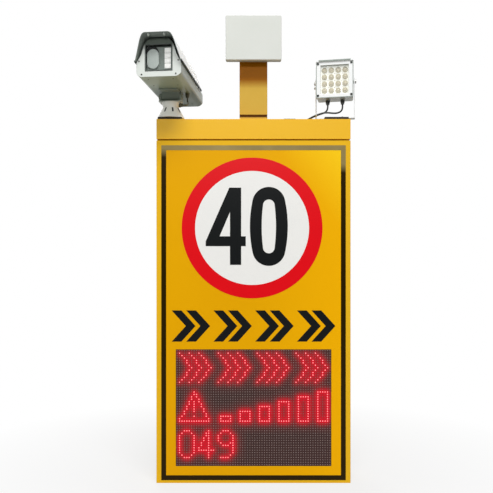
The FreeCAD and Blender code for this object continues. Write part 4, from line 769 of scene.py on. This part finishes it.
dome = bmesh.new()
flat_to_front = Matrix.Diagonal((1, 0.7, 1, 1)) @ TO_FRONT
bmesh.ops.create_uvsphere(dome, u_segments=8, v_segments=4, radius=0.0024, matrix=flat_to_front)
bmesh.ops.bisect_plane(dome, geom=dome.verts[:] + dome.edges[:] + dome.faces[:], dist=1e-5,
                       plane_co=(0, 0, 0), plane_no=(0, 1, 0), clear_outer=True)
dots = [at(first_x + PITCH * column, MASK_FACE, first_z) for column in range(COLUMNS)]
rows = [at(0, 0, -PITCH * row) for row in range(ROWS)]
shape = repeat(repeat(dome, dots), rows)
add_glow(shape)
diodes = make_piece("display_diodes", shape, diode, "cabinet", 60)
print("diode faces:", len(diodes.data.polygons))

# %% Faces of the display modules
mask_face = mottled("display_mask_face", 0.6, (500, 2), (54, 34, 32), (68, 46, 43),
                    relief=(900, 2, 0.0001, 0.3), specular=0.2,
                    Emission_Color=(204, 3, 28), Emission_Strength=0.0)
spill = mask_face.attribute("glow")
mask_face.cover(spill, 0, 1, (26, 3, 5))
mask_face.link(spill, mask_face.shader.inputs["Emission Strength"])
OVERLAP, STAND_OFF = 0.0002, 0.00012
for module in range(6):
    low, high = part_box(f"led_module_{module + 1}")
    wide, tall = high.x - low.x + OVERLAP, high.z - low.z + OVERLAP
    centre = (low + high) / 2
    centre.y = MASK_FACE - STAND_OFF
    shape = bmesh.new()
    bmesh.ops.create_grid(shape, x_segments=64, y_segments=32, size=0.5)
    bmesh.ops.transform(shape, verts=shape.verts, matrix=at(*centre) @ TO_FRONT
                        @ Matrix.Diagonal((wide, tall, 1, 1)))
    add_glow(shape)
    make_piece(f"display_mask_face_{module + 1}", shape, mask_face, "cabinet")
print("mask faces: 6")

# %% [markdown]
# The camera's sunshield is one sheet, bent over the housing: a flat roof, round shoulders, sides
# that lean out and a skirt. Its section is a line of corners, rounded by a vertex bevel and drawn
# out along the housing. The front is raked, so the roof reaches further than the skirt. A Solidify
# modifier gives the sheet its thickness and gives its inner side and rims a second finish, a grey
# that is painted shade.

# %% Sunshield
def hollow(shape, width):
    """Leaves a frame of a width where a face was."""
    faces = shape.faces[:]
    bmesh.ops.inset_individual(shape, faces=faces, thickness=width, use_even_offset=True)
    bmesh.ops.delete(shape, geom=faces, context="FACES")


def push(shape, drawn, way):
    """Moves what an extrusion has drawn out."""
    corners = [v for v in drawn["geom"] if isinstance(v, bmesh.types.BMVert)]
    bmesh.ops.translate(shape, verts=corners, vec=way)


shield_white = mottled("shield_white_paint", 0.4, (14, 4, 0.6), (240, 243, 243), (250, 251, 251))
# The inner side's grey is painted shade.
shield_lining_painted_shade = mottled("shield_inner_painted_shade", 0.6, (40, 4, 0.6), (122, 132, 125), (146, 154, 146))
SHIELD_FRONT, SHIELD_LENGTH, SHIELD_ROOF, RAKE = -0.255, 0.460, 0.160, 0.28
half_section = [(0.092, 0.058), (0.086, 0.076), (0.066, 0.140), (0.054, SHIELD_ROOF)]
section = [(-x, z) for x, z in half_section] + half_section[::-1]
sheet = bmesh.new()
line = [sheet.verts.new((x, SHIELD_FRONT, z)) for x, z in section]
for start, end in zip(line, line[1:]):
    sheet.edges.new((start, end))
round_off(sheet, line[1:-1], 0.0095, 5, "VERTICES")
push(sheet, bmesh.ops.extrude_edge_only(sheet, edges=sheet.edges[:]), (0, SHIELD_LENGTH, 0))
for vert in sheet.verts:
    if vert.co.y < 0:
        vert.co.y += RAKE * (SHIELD_ROOF - vert.co.z)
bmesh.ops.recalc_face_normals(sheet, faces=sheet.faces)
if sum(f.normal.z * f.calc_area() for f in sheet.faces) < 0:
    bmesh.ops.reverse_faces(sheet, faces=sheet.faces)
bmesh.ops.transform(sheet, verts=sheet.verts, matrix=on_camera)
sunshield = make_piece("camera_sunshield_sheet", sheet, shield_white, "camera", 50)
sunshield.data.materials.append(shield_lining_painted_shade.material)
thick = sunshield.modifiers.new("sheet", "SOLIDIFY")
thick.thickness = 0.002
thick.offset = -1
thick.material_offset = 1
thick.material_offset_rim = 1
edge = sunshield.modifiers.new("edge", "BEVEL")
edge.width = 0.0005
edge.segments = 2
edge.limit_method = "ANGLE"
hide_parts("camera_sunshield")
print("sunshield faces:", len(sunshield.data.polygons))

# %% [markdown]
# Many small parts are boxes or turned shapes. A box is a cube between two corners, with
# its edges eased. A turned part is a line of corners, radius and height, spun once round
# an axis, as on a lathe.


# %% Helpers for boxes and turned parts
def box_piece(name, boxes, radius, finish, body):
    """A piece made of boxes, each between two corners in a place of its own."""
    shape = bmesh.new()
    for place, low, high in boxes:
        low, high = Vector(low), Vector(high)
        bmesh.ops.create_cube(shape, size=1, matrix=place @ Matrix.Translation((low + high) / 2)
                              @ Matrix.Diagonal((*(high - low), 1)))
    round_off(shape, shape.edges[:], radius)
    return make_piece(name, shape, finish, body)


def turned_piece(name, profile, places, finish, body, steps=20, smooth=40):
    """A part turned from a line of radius and height, repeated at each place."""
    part = bmesh.new()
    line = [part.verts.new((radius, 0, height)) for radius, height in profile]
    edges = [part.edges.new(pair) for pair in zip(line, line[1:])]
    bmesh.ops.spin(part, geom=line + edges, cent=(0, 0, 0), axis=(0, 0, 1), angle=math.tau,
                   steps=steps, use_merge=True)
    bmesh.ops.remove_doubles(part, verts=part.verts, dist=1e-6)
    bmesh.ops.recalc_face_normals(part, faces=part.faces)
    return make_piece(name, repeat(part, places), finish, body, smooth)


def facing(place, x, y, z):
    """A place whose height axis points to the front, for heads and lenses."""
    return place @ at(x, y, z) @ TO_FRONT


print("helpers: box_piece, turned_piece, facing")

# %% [markdown]
# A dark strip along each lower rim of the sunshield is painted shade, for the shadowed gap under
# the sheet's edge. Spacers hold the sheet off the housing, and two nuts and a stiffener show at the
# front edge; the stiffener wears the lining's grey painted shade.

# %% Rim shade and fixings of the sunshield
# Painted shade: a dark strip along each lower rim stands for the shadowed gap under the sheet's
# edge.
rim_shade_paint = mottled("painted_rim_shade", 0.6, (220, 3), (34, 41, 40), (58, 66, 64))
SHADE_STRIP, RIM = 0.0024, half_section[0][0]
rims = [(on_camera, (middle - SHADE_STRIP, -0.2262, 0.0545), (middle + SHADE_STRIP, 0.2045, 0.0620))
        for middle in (-RIM, RIM)]
box_piece("camera_shield_shade_strips", rims, 0.0009, rim_shade_paint, "camera")
turned_piece("camera_shield_spacers", [(0, 0), (0.006, 0), (0.006, 0.008), (0, 0.008)],
             [on_camera @ at(x, y, 0.150) for x in (-0.030, 0.030) for y in (-0.173, 0.165)],
             bracket_paint, "camera")
turned_piece("camera_shield_nuts",
             [(0, -0.009), (0.003, -0.009), (0.003, -0.006), (0.006, -0.0055), (0.006, 0), (0, 0)],
             [on_camera @ at(x, -0.240, 0.158) for x in (-0.034, 0.028)],
             camera_paint, "camera", 6, 20)
stiffener = [(on_camera, (-0.028, -0.249, 0.1555), (0.022, -0.180, 0.158))]
box_piece("camera_shield_stiffener", stiffener, 0.0006, shield_lining_painted_shade, "camera")
print("sunshield: 2 rim_shades, 4 spacers, 2 nuts, 1 stiffener")

# %% [markdown]
# Behind the camera's window stands a grey mask with a tall lens cover, round at both ends, whose
# pale grey is a painted sky reflection. Behind it, a little up and to the left, a black plate is
# painted shade for a dark recess, and beside them stands a bar of four white lights with a faint
# painted glow. The cover is a disc whose upper and lower halves are moved apart before it is drawn
# out to a plate.


# %% Camera behind the window
def stadium_piece(name, place, half_width, half_height, depth, finish):
    """A plate with round ends on the camera, which stands out to the front of a place."""
    shape = bmesh.new()
    half_step = Matrix.Rotation(math.radians(4.5), 4, "Z")
    bmesh.ops.create_circle(shape, cap_ends=True, segments=40, radius=half_width, matrix=half_step)
    for vert in shape.verts:
        vert.co.y += math.copysign(half_height - half_width, vert.co.y)
    push(shape, bmesh.ops.extrude_face_region(shape, geom=shape.faces[:]), (0, 0, depth))
    bmesh.ops.recalc_face_normals(shape, faces=shape.faces)
    rim = [e for e in shape.edges if e.calc_face_angle() > 1 and min(v.co.z for v in e.verts) > 0]
    round_off(shape, rim, depth / 3)
    bmesh.ops.transform(shape, verts=shape.verts, matrix=place)
    return make_piece(name, shape, finish, "camera", 30)


MASK = -0.197
# A black plate behind the lens cover is painted shade, standing for a dark recess above and left of
# the cover.
painted_lens_shade = dark_rubber("painted_lens_shade", (10, 13, 13), (20, 24, 24), 0.8, 700)
seal_grey = dark_rubber("window_seal_rubber", (84, 91, 87), (102, 108, 103), 0.65, 700)
stadium_piece("camera_lens_shade_plate", facing(on_camera, -0.0300, MASK, 0.0870),
              0.0265, 0.0385, 0.0024, painted_lens_shade)
cover = stadium_piece("camera_lens_cover", facing(on_camera, -0.0250, MASK, 0.0725),
                      0.0240, 0.0390, 0.0080, lens_dark)
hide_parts("camera_lens")
LIGHT_PITCH, LIGHT_GAP = 0.0205, 0.0006
boxes = []
for number in range(4):
    low = 0.034 + LIGHT_PITCH * number
    boxes.append((on_camera, (0.0205, -0.201, low + LIGHT_GAP),
                  (0.0455, MASK, low + LIGHT_PITCH - LIGHT_GAP)))
lights = box_piece("camera_light_segments", boxes, 0.0012, light_white, "camera")
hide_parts("camera_light_bar")
shape = bmesh.new()
bmesh.ops.create_grid(shape, x_segments=1, y_segments=1, size=0.5,
                      matrix=facing(on_camera, 0, -0.2130, 0.075)
                      @ Matrix.Diagonal((0.110, 0.106, 1, 1)))
hollow(shape, 0.0040)
window_seal = make_piece("camera_window_seal", shape, seal_grey, "camera")
lip = window_seal.modifiers.new("lip", "SOLIDIFY")
lip.thickness = 0.0010
lip.offset = 1

# %% Screws and rivets of the camera housing
screw_dark = mottled("blackened_screw", 0.4, (500, 3), (44, 46, 44), (80, 82, 78), 0.6)
socket_head = [(0, 0.0006), (0.45, 0.0006), (0.45, 1.0), (0.85, 1.0), (1.0, 0.75), (1.0, 0)]


def socket_screw(radius, height):
    """The profile of a round head with a socket in its face."""
    return [(r * radius, max(z * height, 0.0002)) for r, z in socket_head]


corners = ((-0.078, 0.062), (0.078, 0.062), (-0.068, 0.010), (0.068, 0.010))
turned_piece("camera_plate_screws", socket_screw(0.0030, 0.0016),
             [facing(on_camera, x, -0.213, z) for x, z in corners],
             screw_dark, "camera")
turned_piece("camera_housing_rivets", [(0, -0.0014), (0.0018, -0.0012), (0.0030, 0), (0, 0)],
             [on_camera @ at(x, y, 0) for x in (-0.050, 0.050) for y in (-0.180, -0.095, 0.205)],
             screw_dark, "camera", 12)
print("camera housing: 4 screws, 6 rivets")

# %% [markdown]
# The flared foot of the camera's bracket has upright slots round its neck. Each is a thin dark bar
# let into the cone's skin, painted shade for the slot's depth, turned to its own direction.

# %% Slots in the bracket's neck
SLOTS, CONE_SKIN, SLOT_HEIGHT = 8, -0.0406, 1.5480
cone_slope = math.atan2(0.024, 0.044)
on_foot = turned_place(*on_camera.translation.xy, 0, -6.3)
boxes = []
for number in range(SLOTS):
    turn = on_foot @ Matrix.Rotation(math.tau * (number + 0.5) / SLOTS, 4, "Z")
    skin = at(0, CONE_SKIN, SLOT_HEIGHT) @ Matrix.Rotation(-cone_slope, 4, "X")
    boxes.append((turn @ skin, (-0.0034, -0.0003, -0.011), (0.0034, 0.0015, 0.011)))
box_piece("camera_base_slot_shades", boxes, 0.0002, screw_dark, "cabinet")
print("neck slots:", SLOTS)

# %% [markdown]
# Behind the lamp's glass sit sixteen emitters on a white board, each a low round lens of
# warm resin with a smaller, paler one on top. Four socket screws hold the bezel. It has a
# grey band under its upper lip, and its rim stands out a little: a flat face with round
# corners, emptied in the middle and drawn out.

# %% Lenses and screws of the lamp
emitter_resin = mottled("emitter_resin", 0.9, (160, 2), (188, 179, 148), (202, 194, 166),
                        specular=0.0)
emitter_heart = mottled("emitter_heart", 0.9, (200, 2), (210, 198, 168), (222, 212, 186),
                        specular=0.0)
EMITTER_PITCH, BOARD_MIDDLE, BOARD, BEZEL = 0.0286, 1.6715, -0.0270, -0.0450


def on_board(count):
    """A square of places on the lamp's board, one emitter's pitch apart."""
    steps = [EMITTER_PITCH * (number - (count - 1) / 2) for number in range(count)]
    return [facing(on_lamp, x, BOARD, BOARD_MIDDLE + z) for x in steps for z in steps]


turned_piece("lamp_emitter_lenses",
             [(0.0112, -0.0005), (0.0112, 0.0060), (0.0106, 0.0074), (0.0088, 0.0080), (0, 0.0080)],
             on_board(4), emitter_resin, "lamp", 24)
turned_piece("lamp_emitter_hearts",
             [(0.0046, 0.0078), (0.0042, 0.0086), (0.0025, 0.0091), (0, 0.0093)],
             on_board(4), emitter_heart, "lamp", 16)
turned_piece("lamp_board_screws", socket_screw(0.0018, 0.0012), on_board(3),
             bolt_steel, "lamp", 12)
turned_piece("lamp_bezel_screws", socket_screw(0.0050, 0.0022),
             [facing(on_lamp, x, BEZEL, z) for x in (-0.0688, 0.0688) for z in (1.6060, 1.7385)],
             screw_dark, "lamp")
band_grey = mottled("lamp_band_grey", 0.5, (90, 3), (130, 140, 132), (152, 160, 153))
box_piece("lamp_lip_band", [(on_lamp, (-0.066, -0.0487, 1.7462), (0.066, -0.0478, 1.7532))],
          0.0003, band_grey, "lamp")
shape = bmesh.new()
outline = ((-0.0772, 1.5955), (0.0772, 1.5955), (0.0772, 1.7535), (-0.0772, 1.7535))
corners = [shape.verts.new((x, BEZEL, z)) for x, z in outline]
shape.faces.new(corners)
round_off(shape, corners, 0.0065, 5, "VERTICES")
hollow(shape, 0.0030)
push(shape, bmesh.ops.extrude_face_region(shape, geom=shape.faces[:]), (0, -0.0006, 0))
bmesh.ops.recalc_face_normals(shape, faces=shape.faces)
bmesh.ops.transform(shape, verts=shape.verts, matrix=on_lamp)
make_piece("lamp_bezel_rim", shape, band_grey, "lamp")
print("lamp: 16 lenses, 9 board screws, 4 bezel screws, band and rim")

# %% [markdown]
# A tie holds the two leads of the lamp together. It is an oval band: a ring of corners,
# stretched, drawn out a few millimetres and given a thickness.

# %% Cable tie
tie_grey = mottled("cable_tie_nylon", 0.4, (150, 2), (190, 194, 190), (208, 212, 208))
run = (Vector((0.2485, -0.0270, 1.52175)) - Vector((0.2795, -0.0308, 1.53425))).normalized()
turn = run.to_track_quat("Z", "Y").to_matrix().to_4x4()
shape = bmesh.new()
ring = bmesh.ops.create_circle(shape, segments=32, radius=1)["verts"]
bmesh.ops.transform(shape, verts=ring, matrix=Matrix.Diagonal((0.0079, 0.0040, 1, 1)))
push(shape, bmesh.ops.extrude_edge_only(shape, edges=shape.edges[:]), (0, 0, 0.005))
bmesh.ops.recalc_face_normals(shape, faces=shape.faces)
bmesh.ops.transform(shape, verts=shape.verts,
                    matrix=at(0.2665, -0.0311, 1.5293) @ turn)
tie = make_piece("lamp_lead_tie", shape, tie_grey, "cabinet", 30)
band = tie.modifiers.new("band", "SOLIDIFY")
band.thickness = 0.0012
band.offset = 1
print("tie turned to", [round(v, 2) for v in run])

# %% [markdown]
# The light is a photographer's: a large soft panel above and in front, so the radar
# throws a soft shadow down the post, a narrow one that reaches under the camera, a weak
# one behind for the door, and an even fill from all round. Rays that the camera, a
# reflection or a window sees find a plain white surround instead.

# %% Light
def seen_rays(tree):
    """1 for rays of the camera, a reflection or a window, and 0 for the rest."""
    rays = tree.nodes.new("ShaderNodeLightPath").outputs
    seen = rays["Is Camera Ray"]
    for ray in ("Is Glossy Ray", "Is Transmission Ray"):
        either = tree.nodes.new("ShaderNodeMath")
        either.operation = "MAXIMUM"
        tree.links.new(seen, either.inputs[0])
        tree.links.new(rays[ray], either.inputs[1])
        seen = either.outputs[0]
    return seen


def mix_shaders(tree, *sources):
    """Blends by a factor, the first source, between two shaders."""
    mixed = tree.nodes.new("ShaderNodeMixShader")
    for source, socket in zip(sources, mixed.inputs):
        tree.links.new(source, socket)
    return mixed.outputs[0]


world = bpy.data.worlds.new("studio")
world.use_nodes = True
scene.world = world
tree = world.node_tree
tree.nodes.clear()
fill, white = (tree.nodes.new("ShaderNodeBackground") for _ in range(2))
for background, strength in ((fill, 0.30), (white, 1.0)):
    background.inputs["Color"].default_value = (1, 1, 1, 1)
    background.inputs["Strength"].default_value = strength
surround = mix_shaders(tree, seen_rays(tree), fill.outputs[0], white.outputs[0])
tree.links.new(surround, tree.nodes.new("ShaderNodeOutputWorld").inputs["Surface"])


def light_panel(name, place, target, wide, tall, power):
    """A flat soft light that looks at a point."""
    panel = bpy.data.lights.new(name, "AREA")
    panel.shape = "RECTANGLE"
    panel.size, panel.size_y = wide, tall
    panel.energy = power
    made = add_object(name, panel)
    made.location = place
    made.rotation_euler = (Vector(target) - Vector(place)).to_track_quat("-Z", "Y").to_euler()


light_panel("overhead_panel", (0.6, -3.9, 8.0), (0, 0, 1.1), 3.6, 2.4, 530)
light_panel("low_front_panel", (-0.6, -6.0, 3.5), (0, 0, 1.3), 4.0, 0.8, 95)
light_panel("rear_panel", (-1.6, 5.5, 5.0), (0, 0, 1.0), 4.0, 3.0, 170)
print("light panels:", len(bpy.data.lights))

# %% [markdown]
# A black flag stands behind the camera: dark films and glossy paint mirror it instead of
# a white room, so black stays black. Only reflections see it.

# %% Black flag
FLAG_WIDE, FLAG_TALL = 7, 2.3
shape = bmesh.new()
bmesh.ops.create_grid(shape, x_segments=1, y_segments=1, size=0.5,
                      matrix=at(0, -3.3, 1.15) @ TO_FRONT
                      @ Matrix.Diagonal((FLAG_WIDE, FLAG_TALL, 1, 1)))
flag = to_object("studio_flag", shape)
flag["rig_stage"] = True
cloth = mottled("studio_flag_cloth", 0.9, (300, 2), (14, 14, 14), (26, 26, 26))
flag.data.materials.append(cloth.material)
for unseen in ("visible_camera", "visible_diffuse", "visible_transmission", "visible_shadow"):
    setattr(flag, unseen, False)
print("flag:", FLAG_WIDE, "by", FLAG_TALL, "m")

# %% [markdown]
# The floor only carries a faint shadow. It is a pale disc that turns into the white of
# the surround before its rim, where the camera would see an edge.

# %% Floor
FLOOR_RADIUS = 2.2
shape = bmesh.new()
bmesh.ops.create_circle(shape, cap_ends=True, segments=96, radius=FLOOR_RADIUS)
floor = to_object("studio_floor", shape)
floor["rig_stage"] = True
pale = Finish("studio_floor_pale", (255, 255, 255))
pale.tree.nodes.remove(pale.shader)
far = pale.node("ShaderNodeVectorMath", operation="LENGTH")
pale.link(pale.place, far.inputs[0])
fade = pale.spread(far.outputs["Value"], 0.5, 1.6, 0.3, 0.0)
matt, glow = pale.node("ShaderNodeBsdfDiffuse"), pale.node("ShaderNodeEmission")
matt.inputs["Color"].default_value = (0.6, 0.6, 0.6, 1)
glow.inputs["Color"].default_value = (1, 1, 1, 1)
shown = mix_shaders(pale.tree, fade, glow.outputs[0], matt.outputs[0])
either = mix_shaders(pale.tree, seen_rays(pale.tree), matt.outputs[0], shown)
pale.link(either, pale.tree.nodes["Material Output"].inputs["Surface"])
floor.data.materials.append(pale.material)
print("floor radius:", FLOOR_RADIUS, "m")

# %% [markdown]
# Last, the box of the dressed sign is printed.

# %% Print the box of the dressed sign
low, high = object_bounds()
print("scene box:", [round(v, 3) for v in (*low, *high)])
